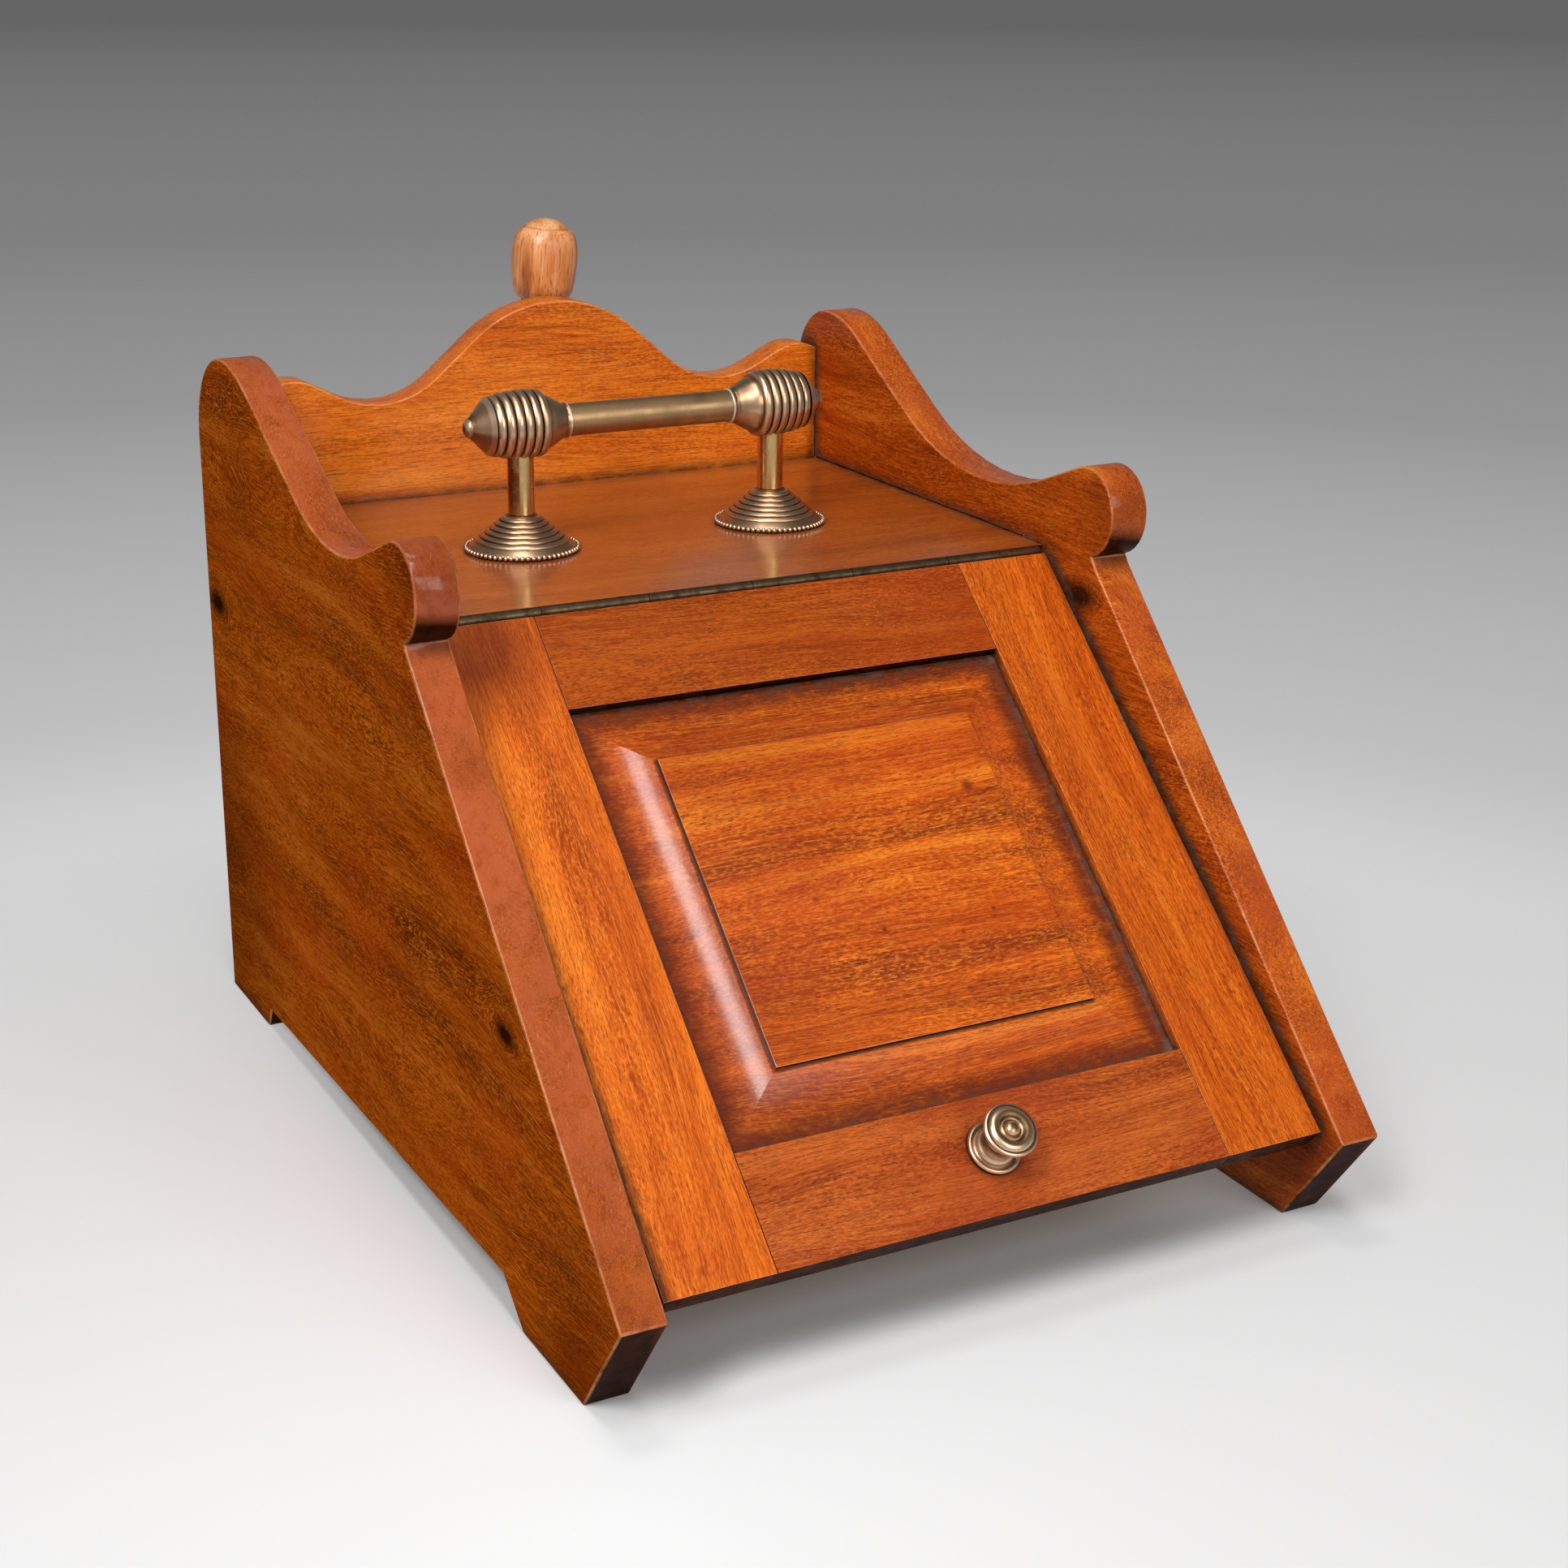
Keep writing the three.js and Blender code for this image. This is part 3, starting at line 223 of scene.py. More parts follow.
def polishedMahogany(name, **changes):
    # French-polished mahogany, planed: warm orange-red under a clear film, long soft bands along the
    # grain, fine dark pores, rubbed light arrises, dark wax and painted shade in the corners, and painted
    # shade on faces that look down
    look = {**mahogany, **changes}
    material, tree = newMaterial("French-polished mahogany, " + name)
    coordinates = addNode(tree, "TexCoord")
    place = coordinates.outputs["Object"]
    turn = Euler([math.radians(angle) for angle in look["turn"]])
    shift = Vector(look["shift"])
    grain = addNode(tree, "Mapping", {"Rotation": turn, "Location": shift, "Vector": place}).outputs[0]

    bent = grain
    knots = []
    for *centre, radius in look["knots"]:
        # the grain flows round a knot as water flows round a post: across' = across (1 - R2 / rho2)
        middle = turn.to_matrix() @ (Vector(centre) * mm) + shift
        area = (radius * mm) ** 2
        away = addNode(tree, "VectorMath", {"operation": "SUBTRACT", 0: bent, 1: middle}).outputs[0]
        oval = addNode(tree, "VectorMath",
                       {"operation": "MULTIPLY", 0: away, 1: (0.5, 1, 1)}).outputs[0]
        rho = addNode(tree, "VectorMath", {"operation": "LENGTH", 0: oval}).outputs[1]
        square = addNode(tree, "Math", {"operation": "POWER", 0: rho, 1: 2.0}).outputs[0]
        guarded = addNode(tree, "Math", {"operation": "ADD", 0: square, 1: area * 0.2}).outputs[0]
        pull = addNode(tree, "Math", {"operation": "DIVIDE", 0: area, 1: guarded}).outputs[0]
        rest = addNode(tree, "Math", {"operation": "SUBTRACT", 0: 1.0, 1: pull}).outputs[0]
        across = addNode(tree, "CombineXYZ", {0: 1.0, 1: rest, 2: rest}).outputs[0]
        moved = addNode(tree, "VectorMath", {"operation": "MULTIPLY", 0: away, 1: across}).outputs[0]
        bent = addNode(tree, "VectorMath", {"operation": "ADD", 0: moved, 1: middle}).outputs[0]
        knots.append((rho, radius * mm * 0.25, radius * mm * 0.8, 1.0, 0.0))

    # the whole grain wanders: bent = bent + 4 warp (noise - 0.5)
    wander = grainNoise(tree, grain, look["warpRun"], look["warpRun"] / 4).outputs["Color"]
    wander = addNode(tree, "VectorMath",
                     {"operation": "SUBTRACT", 0: wander, 1: (0.5, 0.5, 0.5)}).outputs[0]
    reach = look["warp"] * mm * 4
    wander = addNode(tree, "VectorMath",
                     {"operation": "MULTIPLY", 0: wander, 1: (0, reach, reach)}).outputs[0]
    bent = addNode(tree, "VectorMath", {"operation": "ADD", 0: bent, 1: wander}).outputs[0]

    askew = addNode(tree, "Mapping", {"Rotation": look["scratchTurn"], "Vector": grain}).outputs[0]
    patterns = {
        # name: coordinates, run along and width across in mm, detail and roughness of the noise
        "bands": (bent, look["bandRun"], look["bandWidth"], 5.0, 0.62),
        "streaks": (bent, look["streakRun"], look["streakWidth"], 3.0, 0.65),
        "hairs": (bent, look["hairRun"], look["hairWidth"], 1.0),
        "figure": (bent, look["figureRun"], look["figureSize"], 1.0),
        "zones": (bent, *look["zone"], 1.0),
        "pores": (bent, look["poreRun"], look["poreWidth"], 0.0),
        "patches": (grain, *look["patch"]),
        "spots": (grain, *look["spot"], 3.0, 0.7),
        "scratches": (askew, *look["scratch"], 0.0),
        "rubs": (grain, 25, 12, 4.0, 0.7),
        "film": (grain, 60, 40, 3.0, 0.6),
    }
    noise = {part: grainNoise(tree, *values).outputs[0] for part, values in patterns.items()}
    spots, patches, streaks = noise["spots"], noise["patches"], noise["streaks"]

    half = 0.5 / look["bandContrast"]
    bands = product(tree, (noise["bands"], 0.5 - half, 0.5 + half))
    ramp = addNode(tree, "ValToRGB", {0: bands})
    setRamp(ramp, (
        (0.22, look["dark"]), (0.42, look["mid"]), (0.56, look["rich"]), (0.78, look["light"])))

    zone = (noise["zones"], 0.42, 0.6, 0.35, 1.0)
    pores = product(tree, (noise["pores"], 0.62, 0.7))
    layers = [
        # colour and the factors of its share, from the wood outwards
        (look["dark"], (streaks, 0.5, 0.3, 0.0, 0.6)),
        (look["light"], (streaks, 0.54, 0.72, 0.0, 0.5)),
        (look["dark"], (noise["hairs"], 0.46, 0.28, 0.0, look["hairDark"])),
        (look["light"], (noise["hairs"], 0.56, 0.74, 0.0, 0.6)),
        (look["light"], (noise["figure"], 0.5, 0.68), zone, look["figure"]),
        (look["dark"], (noise["figure"], 0.46, 0.3), zone, look["figure"] * 0.7),
        (look["dark"], pores, look["poreDepth"]),
        (look["red"], (patches, 0.45, 0.7), look["redShare"]),
    ]
    for knot in knots:
        layers.append((look["knotHex"], knot, 0.95))
    # painted shadow along one long edge of the piece, ragged with the spots
    if look["border"]:
        start, reach = look["border"]
        across = addNode(tree, "SeparateXYZ", {0: place}).outputs[0]
        ragged = addNode(tree, "Math",
                         {"operation": "MULTIPLY_ADD", 0: spots, 1: reach * mm, 2: across}).outputs[0]
        inner, outer = (start + reach * 1.4) * mm, (start + reach * 0.6) * mm
        layers.append((look["shadowStripHex"], (ragged, inner, outer, 0.0, 0.8)))

    dirtAndShade = addNode(tree, "Attribute", {"attribute_name": "dirtAndShade"}).outputs["Fac"]
    corner = addNode(tree, "AmbientOcclusion",
                     {"samples": 6, "Distance": look["grimeReach"] * mm}).outputs["AO"]
    layers += [
        (look["scratchHex"], (noise["scratches"], 0.79, 0.83), look["scratches"]),
        # dark polish and painted shade where the piece has the attribute for them
        (look["dirtAndShadeHex"], dirtAndShade, (spots, 0.3, 0.55, 0.55, 1.0)),
        # dark wax in the joints and painted shade in corners and recesses
        (look["grimeHex"], (corner, 0.93, 0.5), (spots, 0.2, 0.55, 0.4, 1.0), look["grime"]),
        (look["dustHex"], (corner, 0.8, 0.45), (spots, 0.4, 0.62), look["dust"]),
    ]

    facing = addNode(tree, "SeparateXYZ", {0: coordinates.outputs["Normal"]})
    coat = look["coat"]
    if look["edgeShare"]:
        square = product(tree, facing.outputs[0], facing.outputs[0])
        sawn = product(tree, (square, 0.7, 0.3), (patches, 0.34, 0.6, 0.45, 1.0),
                       (spots, 0.36, 0.52, 0.55, 1.0))
        layers.append((look["edge"], sawn, look["edgeShare"]))
        coat = product(tree, (sawn, 0.0, 1.0, look["coat"], look["edgeCoat"]))
    # darker round given points: stains, and painted shade where a board puts one near the floor
    for *centre, radius, share in look["stains"]:
        away = addNode(tree, "VectorMath",
                       {"operation": "DISTANCE", 0: place, 1: Vector(centre) * mm}).outputs[1]
        spread = (away, radius * mm, radius * mm * 0.25)
        layers.append((look["dark"], spread, share, (patches, 0.3, 0.55, 0.6, 1.0)))
    # painted shade on faces that look down, patchy with the spots; these faces also lose their gloss and
    # coat
    under = product(tree, (facing.outputs[2], -0.2, -0.5), (spots, 0.25, 0.6, 0.9, 1.0))
    wear = addNode(tree, "Attribute", {"attribute_name": "wear"}).outputs["Fac"]
    layers += [
        (look["downShadeHex"], under, look["under"]),
        (look["wearHex"], wear, (noise["rubs"], 0.35, 0.62), look["wear"]),
    ]

    colour = ramp.outputs[0]
    for over, *factors in layers:
        colour = laidOver(tree, colour, over, *factors)
    colour = addNode(tree, "HueSaturation", {"Value": look["tone"], "Color": colour}).outputs[0]
    rough = look["roughness"]
    height = addNode(tree, "Math", {"operation": "SUBTRACT", 0: streaks, 1: pores}).outputs[0]
    bump = addNode(tree, "Bump", {"Strength": 0.3, "Distance": 0.12 * mm, "Height": height})
    finishShader(tree, {
        "Base Color": colour,
        "Roughness": product(tree, (noise["film"], 0.3, 0.7, rough - 0.05, rough + 0.09)),
        "Specular IOR Level": product(tree, (under, 0.0, 1.0, look["gloss"], 0.02)),
        "Coat Weight": product(tree, (under, 0.0, 1.0, 1.0, 0.0), coat),
        "Coat Roughness": look["coatRoughness"],
        "Normal": bump.outputs[0],
    })
    return material


bareWood = {
    "stops": ((0.32, "#8d6235"), (0.5, "#b98b58"), (0.68, "#d6b07c")),
    "growth": (4, 160, 160),  # lines in a metre, along and across the grain
    "dirtAndShadeHex": "#3a2616",
    "dirtAndShadeReach": 12,  # mm
    "roughness": 0.75,
}


def bareDeal(name, turn):
    # deal, planed and left bare: pale yellow-brown with wide straight growth lines, gone dull, with dirt
    # and painted shade in its corners
    look = bareWood
    material, tree = newMaterial(name)
    place = addNode(tree, "TexCoord").outputs["Object"]
    angles = [math.radians(angle) for angle in turn]
    grain = addNode(tree, "Mapping", {"Rotation": angles, "Vector": place}).outputs[0]
    lines = addNode(tree, "Mapping", {"Scale": look["growth"], "Vector": grain}).outputs[0]
    rings = addNode(tree, "TexNoise", {"Scale": 1.0, "Detail": 4.0, "Vector": lines}).outputs[0]
    ramp = addNode(tree, "ValToRGB", {0: rings})
    setRamp(ramp, look["stops"])
    corner = addNode(tree, "AmbientOcclusion",
                     {"samples": 6, "Distance": look["dirtAndShadeReach"] * mm}).outputs["AO"]
    # darker near corners: dirt and painted shade, from ambient occlusion
    colour = laidOver(tree, ramp.outputs[0], look["dirtAndShadeHex"], (corner, 0.95, 0.4, 0.0, 0.7))
    bump = addNode(tree, "Bump", {"Strength": 0.4, "Distance": 0.2 * mm, "Height": rings})
    finishShader(tree, {
        "Base Color": colour, "Roughness": look["roughness"], "Normal": bump.outputs[0]})
    return material


brass = {
    "body": "#a98460",
    "rubbed": "#e6c4a4",
    "tarnish": "#7a5f40",
    "recess": "#2e1f12",
    "chalk": "#e6ddd2",  # dried metal polish, where a piece has the attribute "chalk"
    "roughness": 0.34,
    "patch": 14,  # mm
    "grit": 1.1,  # mm, coarser than the real grit so that it shows
    "reach": 1.3,  # mm that dirt reaches out of a recess
}


def antiqueBrass(name, **changes):
    # cast and turned brass, gone dull: olive-brown with pinkish-gold rubbed crests, dark recesses
    look = {**brass, **changes}
    material, tree = newMaterial("Antique brass, " + name)
    place = addNode(tree, "TexCoord").outputs["Object"]
    patches = addNode(tree, "TexNoise", {
        "Scale": 1 / (look["patch"] * mm), "Detail": 5.0, "Roughness": 0.62,
        "Vector": place}).outputs[0]
    grit = addNode(tree, "TexNoise", {
        "Scale": 1 / (look["grit"] * mm), "Detail": 3.0, "Roughness": 0.6,
        "Vector": place}).outputs[0]
    wear = addNode(tree, "Attribute", {"attribute_name": "wear"}).outputs["Fac"]
    chalk = addNode(tree, "Attribute", {"attribute_name": "chalk"}).outputs["Fac"]
    corner = addNode(tree, "AmbientOcclusion",
                     {"samples": 6, "Distance": look["reach"] * mm}).outputs["AO"]
    colour = laidOver(tree, linear(look["body"]), look["tarnish"], (patches, 0.42, 0.66))
    colour = laidOver(tree, colour, look["rubbed"], (wear, 0.35, 0.85, 0.0, 0.85))
    colour = laidOver(tree, colour, look["recess"], (corner, 0.85, 0.35, 0.0, 0.75))
    colour = laidOver(tree, colour, look["chalk"], chalk)
    rough = look["roughness"]
    bump = addNode(tree, "Bump", {"Strength": 0.14, "Distance": 0.08 * mm, "Height": grit})
    finishShader(tree, {
        "Base Color": colour,
        "Metallic": product(tree, (chalk, 0.0, 1.0, 1.0, 0.0)),
        "Roughness": product(tree, (patches, 0.3, 0.7, rough - 0.06, rough + 0.14)),
        "Normal": bump.outputs[0],
    })
    return material


def dullMetal(name, bodyHex, spotHex, metallic, roughness):
    # steel or japanned sheet, years old: one plain tone with rust or rubbed spots and fine grit
    material, tree = newMaterial(name)
    place = addNode(tree, "TexCoord").outputs["Object"]
    spots = addNode(tree, "TexNoise", {
        "Scale": 1 / (9 * mm), "Detail": 6.0, "Roughness": 0.7, "Vector": place}).outputs[0]
    bump = addNode(tree, "Bump", {"Strength": 0.3, "Distance": 0.15 * mm, "Height": spots})
    finishShader(tree, {
        "Base Color": laidOver(tree, linear(bodyHex), spotHex, (spots, 0.5, 0.68)),
        "Metallic": metallic,
        "Roughness": product(tree, (spots, 0.3, 0.7, roughness - 0.08, roughness + 0.15)),
        "Normal": bump.outputs[0],
    })
    return material


beechLook = {
    "stops": ((0.3, "#a4561c"), (0.45, "#d4813e"), (0.58, "#e8a268"), (0.74, "#f4c49a")),
    "fine": (28, 1300, 1300),  # streaks in a metre, along and across the grain
    "broad": (22, 110, 110),
    "streakHex": "#5c290c",
    "dirtAndShadeHex": "#2c1206",
    "dirtAndShadeReach": 2.5,  # mm
}


def turnedBeech(name, turn):
    # beech, turned and polished: pale orange-brown, fine upright streaks, hollows darkened by wear and by
    # painted shade
    look = beechLook
    material, tree = newMaterial(name)
    place = addNode(tree, "TexCoord").outputs["Object"]
    grain = addNode(tree, "Mapping", {"Rotation": turn, "Vector": place}).outputs[0]
    fine = addNode(tree, "Mapping", {"Scale": look["fine"], "Vector": grain}).outputs[0]
    broad = addNode(tree, "Mapping", {"Scale": look["broad"], "Vector": grain}).outputs[0]
    streaks = addNode(tree, "TexNoise", {"Scale": 1.0, "Detail": 3.0, "Vector": fine}).outputs[0]
    stains = addNode(tree, "TexNoise", {"Scale": 1.0, "Detail": 4.0, "Vector": broad}).outputs[0]
    ramp = addNode(tree, "ValToRGB", {0: stains})
    setRamp(ramp, look["stops"])
    corner = addNode(tree, "AmbientOcclusion",
                     {"samples": 6, "Distance": look["dirtAndShadeReach"] * mm}).outputs["AO"]
    colour = laidOver(tree, ramp.outputs[0], look["streakHex"], (streaks, 0.48, 0.3, 0.0, 0.7))
    # darker in the hollows: wear and painted shade, from ambient occlusion
    colour = laidOver(tree, colour, look["dirtAndShadeHex"], (corner, 0.92, 0.5, 0.0, 0.8))
    bump = addNode(tree, "Bump", {"Strength": 0.3, "Distance": 0.15 * mm, "Height": streaks})
    finishShader(tree, {
        "Base Color": colour, "Roughness": 0.4, "Coat Weight": 0.3, "Coat Roughness": 0.25,
        "Normal": bump.outputs[0]})
    return material


def addPiece(name, mesh, material, body, slotName, *replaced):
    # a finished mesh as a piece of its body, in place of the frame's nodes that are named last
    mesh.materials.clear()
    mesh.materials.append(material)
    piece = bpy.data.objects.new(name, mesh)
    bpy.context.scene.collection.objects.link(piece)
    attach(piece, body)
    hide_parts(*replaced)


def setAttribute(mesh, name, values):
    # one number for each vertex
    attribute = mesh.attributes.new(name, "FLOAT", "POINT")
    attribute.data.foreach_set("value", np.asarray(values, np.float32))


arris = {
    "segments": 3,
    "sharp": 28,  # degrees from which an edge is rounded
    "flat": 0.4,  # degrees up to which two faces are one
    "merge": 2e-6,  # m
    "largeFlat": 2500,  # mm2 from which a flat keeps its own normal
}


def eased(node, material, slotName, width, segments=arris["segments"]):
    # a merged copy of a frame node whose arrises are rounded; "wear" is 1 along the rounding and 0
    # on the flats, because a vertex between two rounding faces touches nothing else
    mesh = nodes[node].data.copy()
    work = bmesh.new()
    work.from_mesh(mesh)
    bmesh.ops.remove_doubles(work, verts=work.verts, dist=arris["merge"])
    bmesh.ops.dissolve_limit(
        work, angle_limit=math.radians(arris["flat"]), verts=work.verts, edges=work.edges)
    work.to_mesh(mesh)
    work.free()
    mesh.materials.clear()
    for face in ("flat", "rounding"):
        mesh.materials.append(material)
    mesh.shade_smooth()
    draft = bpy.data.objects.new("draft", mesh)
    bpy.context.scene.collection.objects.link(draft)
    bevel = draft.modifiers.new("arris", "BEVEL")
    bevel.width = width * mm
    bevel.segments = segments
    bevel.limit_method = "ANGLE"
    bevel.angle_limit = math.radians(arris["sharp"])
    bevel.harden_normals = True
    bevel.material = 1
    done = bpy.data.meshes.new_from_object(draft.evaluated_get(bpy.context.evaluated_depsgraph_get()))
    bpy.data.objects.remove(draft)
    onFlat = np.zeros(len(done.vertices), bool)
    normals = np.empty(len(done.loops) * 3, np.float32)
    done.corner_normals.foreach_get("vector", normals)
    normals = normals.reshape(-1, 3)
    for face in done.polygons:
        if face.material_index == 0:
            onFlat[list(face.vertices)] = True
        face.material_index = 0
        if face.area > arris["largeFlat"] * mm ** 2:
            normals[list(face.loop_indices)] = face.normal  # also round a hole
    setAttribute(done, "wear", 1.0 - onFlat)
    done.normals_split_custom_set(normals.tolist())
    addPiece("eased_" + node, done, material, nodes[node]["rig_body"], slotName, node)


def gridFaces(rows, columns):
    # point (row, column) has number row x columns + column, and the last column joins the first
    across = np.arange(columns)
    start = np.arange(rows - 1)[:, None] * columns
    nextColumn = (across + 1) % columns
    quads = np.stack([start + across, start + nextColumn, start + columns + nextColumn,
                      start + columns + across], axis=-1)
    return quads.reshape(-1, 4)


def tubeFaces(rows, columns):
    # the grid's faces, and a flat face that closes each end
    last = (rows - 1) * columns
    ends = [list(range(columns))[::-1], list(range(last, last + columns))]
    return gridFaces(rows, columns).tolist() + ends


def placed(points, place):
    # p' = M p + t, for the turn M and the shift t of a 4 x 4 matrix
    matrix = np.array(place)
    return (points @ matrix[:3, :3].T + matrix[:3, 3]).tolist()


turning = {
    "window": 9,  # points in the running mean
    "gain": 1.4,  # wear for each mm that a point stands proud of the mean
}


def turnedMesh(name, profile, place, steps=72, crease=34):
    # radius(t) and height(t) carried round Z: x = r cos a, y = r sin a, z = h; the ends are closed
    # by a flat face. "wear" is high where the profile stands proud of its own running mean
    radius, height = np.array(profile, float).T * mm
    angle = np.linspace(0, 2 * np.pi, steps, endpoint=False)
    points = np.stack([radius[:, None] * np.cos(angle), radius[:, None] * np.sin(angle),
                       np.broadcast_to(height[:, None], (len(radius), steps))], axis=-1).reshape(-1, 3)
    mesh = bpy.data.meshes.new(name)
    mesh.from_pydata(placed(points, place), [], tubeFaces(len(radius), steps))
    window = turning["window"]
    around = np.pad(radius, window // 2, mode="edge")
    proud = (radius - np.convolve(around, np.ones(window) / window, "valid")) / mm
    setAttribute(mesh, "wear", np.repeat(np.clip(0.5 + proud * turning["gain"], 0, 1), steps))
    work = bmesh.new()
    work.from_mesh(mesh)
    bmesh.ops.remove_doubles(work, verts=work.verts, dist=1e-7)
    bmesh.ops.recalc_face_normals(work, faces=work.faces)
    work.to_mesh(mesh)
    work.free()
    mesh.shade_smooth()
    mesh.set_sharp_from_angle(angle=math.radians(crease))
    return mesh


def smoothStep(value):
    # 3 s2 - 2 s3, for s held between 0 and 1
    share = np.clip(value, 0, 1)
    return share * share * (3 - 2 * share)


def rib(share, sharpness):
    # |sin(pi share)| ^ sharpness: a row of round ribs, one for each whole number of share
    return np.abs(np.sin(np.pi * share)) ** sharpness


def aim(point, direction):
    # places Z along direction, with its foot at point
    return Matrix.Translation(point) @ direction.normalized().to_track_quat("Z", "Y").to_matrix().to_4x4()


lidTurn = -slope["angle"]
woods = {
    "sideLeft": polishedMahogany(
        "planed (left side)", turn=(0, 0, -90), shift=(0.31, 0.07, 0.02),
        dark="#3e1603", mid="#883603", rich="#a44a07", light="#cc7628", redShare=0.35, tone=0.95,
        warp=15, bandWidth=20, bandRun=170, bandContrast=0.85, streakWidth=0.8, streakRun=15,
        hairDark=0.5, figure=0.4, edgeShare=0.75, dust=0.4, gloss=0.0, coat=0.0, roughness=0.5,
        knots=((-175, -156, 125, 9), (-175, 209, 209, 12)),
        # the first two stains are painted shade, darker low at the rear and at the foot, near the floor
        stains=((-175, 235, 60, 120, 0.6), (-175, -225, 10, 60, 0.5), (-165, -70, 288, 34, 0.4))),
    "sideRight": polishedMahogany(
        "planed (right side)", turn=(0, 0, -90), shift=(-0.22, 0.4, 0.11),
        dark="#521802", mid="#a23e04", rich="#bc520a", redShare=0.4, tone=0.98, warp=12,
        edgeShare=0.22, dust=0.4, gloss=0.08, coat=0.1, knots=((155.5, -51, 236, 12),),
        # the second stain is painted shade at the foot, near the floor
        stains=((165, -69, 274, 30, 0.5), (165, -238, 25, 40, 0.7))),
    "upstand": polishedMahogany(
        "planed (backboard)", shift=(0.1, 0.6, 0.3), mid="#d6620a", rich="#ea7a12",
        light="#f49a34", bandWidth=26, poreDepth=0.4, redShare=0.25),
    "top": polishedMahogany(
        "planed (top board)", shift=(0.5, 0.2, 0.7), dark="#6e2c06", mid="#9e460c", rich="#b45814",
        light="#ca7630", redShare=0.2, tone=0.88, bandContrast=0.7, scratches=0.1, dust=0.7,
        grime=0.6, grimeReach=4, gloss=0.2, coat=1.0, coatRoughness=0.19),
    "stileLeft": polishedMahogany(
        "planed (left stile)", turn=(lidTurn, 0, -90), shift=(0.9, 0.1, 0.2), dark="#6e2204",
        mid="#c45409", rich="#dc6812", light="#f28c2c", redShare=0.25, bandContrast=0.9,
        # painted shadow of the left side along the stile's outer edge
        stains=((-136, -34, 240, 46, 0.8), (-134, -244, 57, 3, 0.8)), border=(-152.5, 7)),
    "stileRight": polishedMahogany(
        "planed (right stile)", turn=(lidTurn, 0, -90), shift=(0.2, 0.8, 0.4), mid="#b44803",
        rich="#ca5a08", redShare=0.25, bandContrast=0.95, stains=((131, -246, 55, 2.6, 0.9),)),
    "railTop": polishedMahogany(
        "planed (upper rail)", turn=(lidTurn, 0, 0), shift=(0.3, 0.3, 0.9), mid="#8e3803",
        rich="#a44807", light="#c06416", redShare=0.35, bandContrast=0.9),
    "railLow": polishedMahogany(
        "planed (lower rail)", turn=(lidTurn, 0, 0), shift=(0.7, 0.5, 0.1), mid="#a4440c",
        rich="#ba5618", light="#cc6e2a", red="#8e2c0e", redShare=0.5, gloss=0.2, coat=0.25),
    "panel": polishedMahogany(
        "ribbon figure (panel)", turn=(lidTurn, 0, 0), shift=(0.15, 0.9, 0.6), dark="#641c02",
        mid="#b04403", rich="#d05806", light="#ee8a22", redShare=0.45, bandContrast=1.1,
        bandWidth=13, bandRun=420, warp=7, figure=0.45, figureSize=1.1, figureRun=2.6,
        coat=0.8, coatRoughness=0.16, dust=0.5, grimeReach=13, grime=0.95, stains=(
            (-88, -190, 104, 75, 0.4), (-46, -92, 192, 70, 0.25), (60, -110, 176, 4, 0.8),
            (-31, -140, 150, 2, 0.7), (29, -160, 132, 1.6, 0.8), (47, -154, 137, 1.6, 0.7),
            (21, -178, 115, 2, 0.6), (-6, -154, 137, 1.8, 0.9))),
    "rack": polishedMahogany("planed (shovel ledge)", shift=(0.4, 0.1, 0.5), tone=0.8),
    "rail": polishedMahogany("darkened (front rail)", shift=(0.8, 0.4, 0.3), tone=0.5),
}
deal = bareDeal("Deal, planed and bare", (0, 0, 0))
dealUpright = bareDeal("Deal, planed and bare (upright)", (0, 90, 0))
dealSlope = bareDeal("Deal, planed and bare (ledges)", (lidTurn, 0, -90))
beech = turnedBeech("Beech, turned and polished", (0, math.radians(90 - shovelLine["lean"]), 0))
print("wood ready")

brasses = {
    "cast": antiqueBrass("cast and turned", body="#b4906a", roughness=0.33),
    "bar": antiqueBrass("drawn tube", body="#b8946c", tarnish="#8c724c", rubbed="#c8a478",
                        roughness=0.4, patch=18),
    "post": antiqueBrass("turned rod", body="#dcae62", tarnish="#5c4220", rubbed="#efcb8c",
                         roughness=0.2, patch=5),
    "hinge": antiqueBrass("rolled strip", body="#6a5640", tarnish="#43362a", rubbed="#a8927c",
                          roughness=0.42, patch=7),
    "sheet": antiqueBrass("sheet", body="#8a734b", tarnish="#5a482c", rubbed="#b8a070",
                          roughness=0.38, patch=30),
}
steel = dullMetal("Steel, aged", "#75736c", "#4b3524", 1.0, 0.45)
blackSteel = dullMetal("Sheet steel, japanned black", "#1d1b19", "#3a332c", 0.0, 0.5)
print("metal ready")

boards = {
    # node: (material, slot, rounding of the arrises in mm)
    "side_left": ("sideLeft", "mahogany", 1.1),
    "side_right": ("sideRight", "mahogany", 1.1),
    "back_upstand": ("upstand", "mahogany", 0.9),
    "top_board": ("top", "mahogany", 0.5),
    "lid_stile_left": ("stileLeft", "mahogany", 0.7),
    "lid_stile_right": ("stileRight", "mahogany", 0.7),
    "lid_rail_top": ("railTop", "mahogany", 0.5),
    "lid_rail_bottom": ("railLow", "mahogany", 0.7),
    "shovel_ledge": ("rack", "mahogany", 0.9),
    "front_rail": ("rail", "dark_mahogany", 0.6),
}
for node, (wood, slotName, width) in boards.items():
    eased(node, woods[wood], slotName, width)

dealPieces = {
    "bottom_board": deal, "back_panel": deal, "back_cleat_left": dealUpright,
    "back_cleat_right": dealUpright, "glue_block_left": deal, "glue_block_right": deal,
    "lid_ledge_left": dealSlope, "lid_ledge_right": dealSlope,
}
for node, material in dealPieces.items():
    eased(node, material, "deal", 0.5, 2)
print("boards ready")

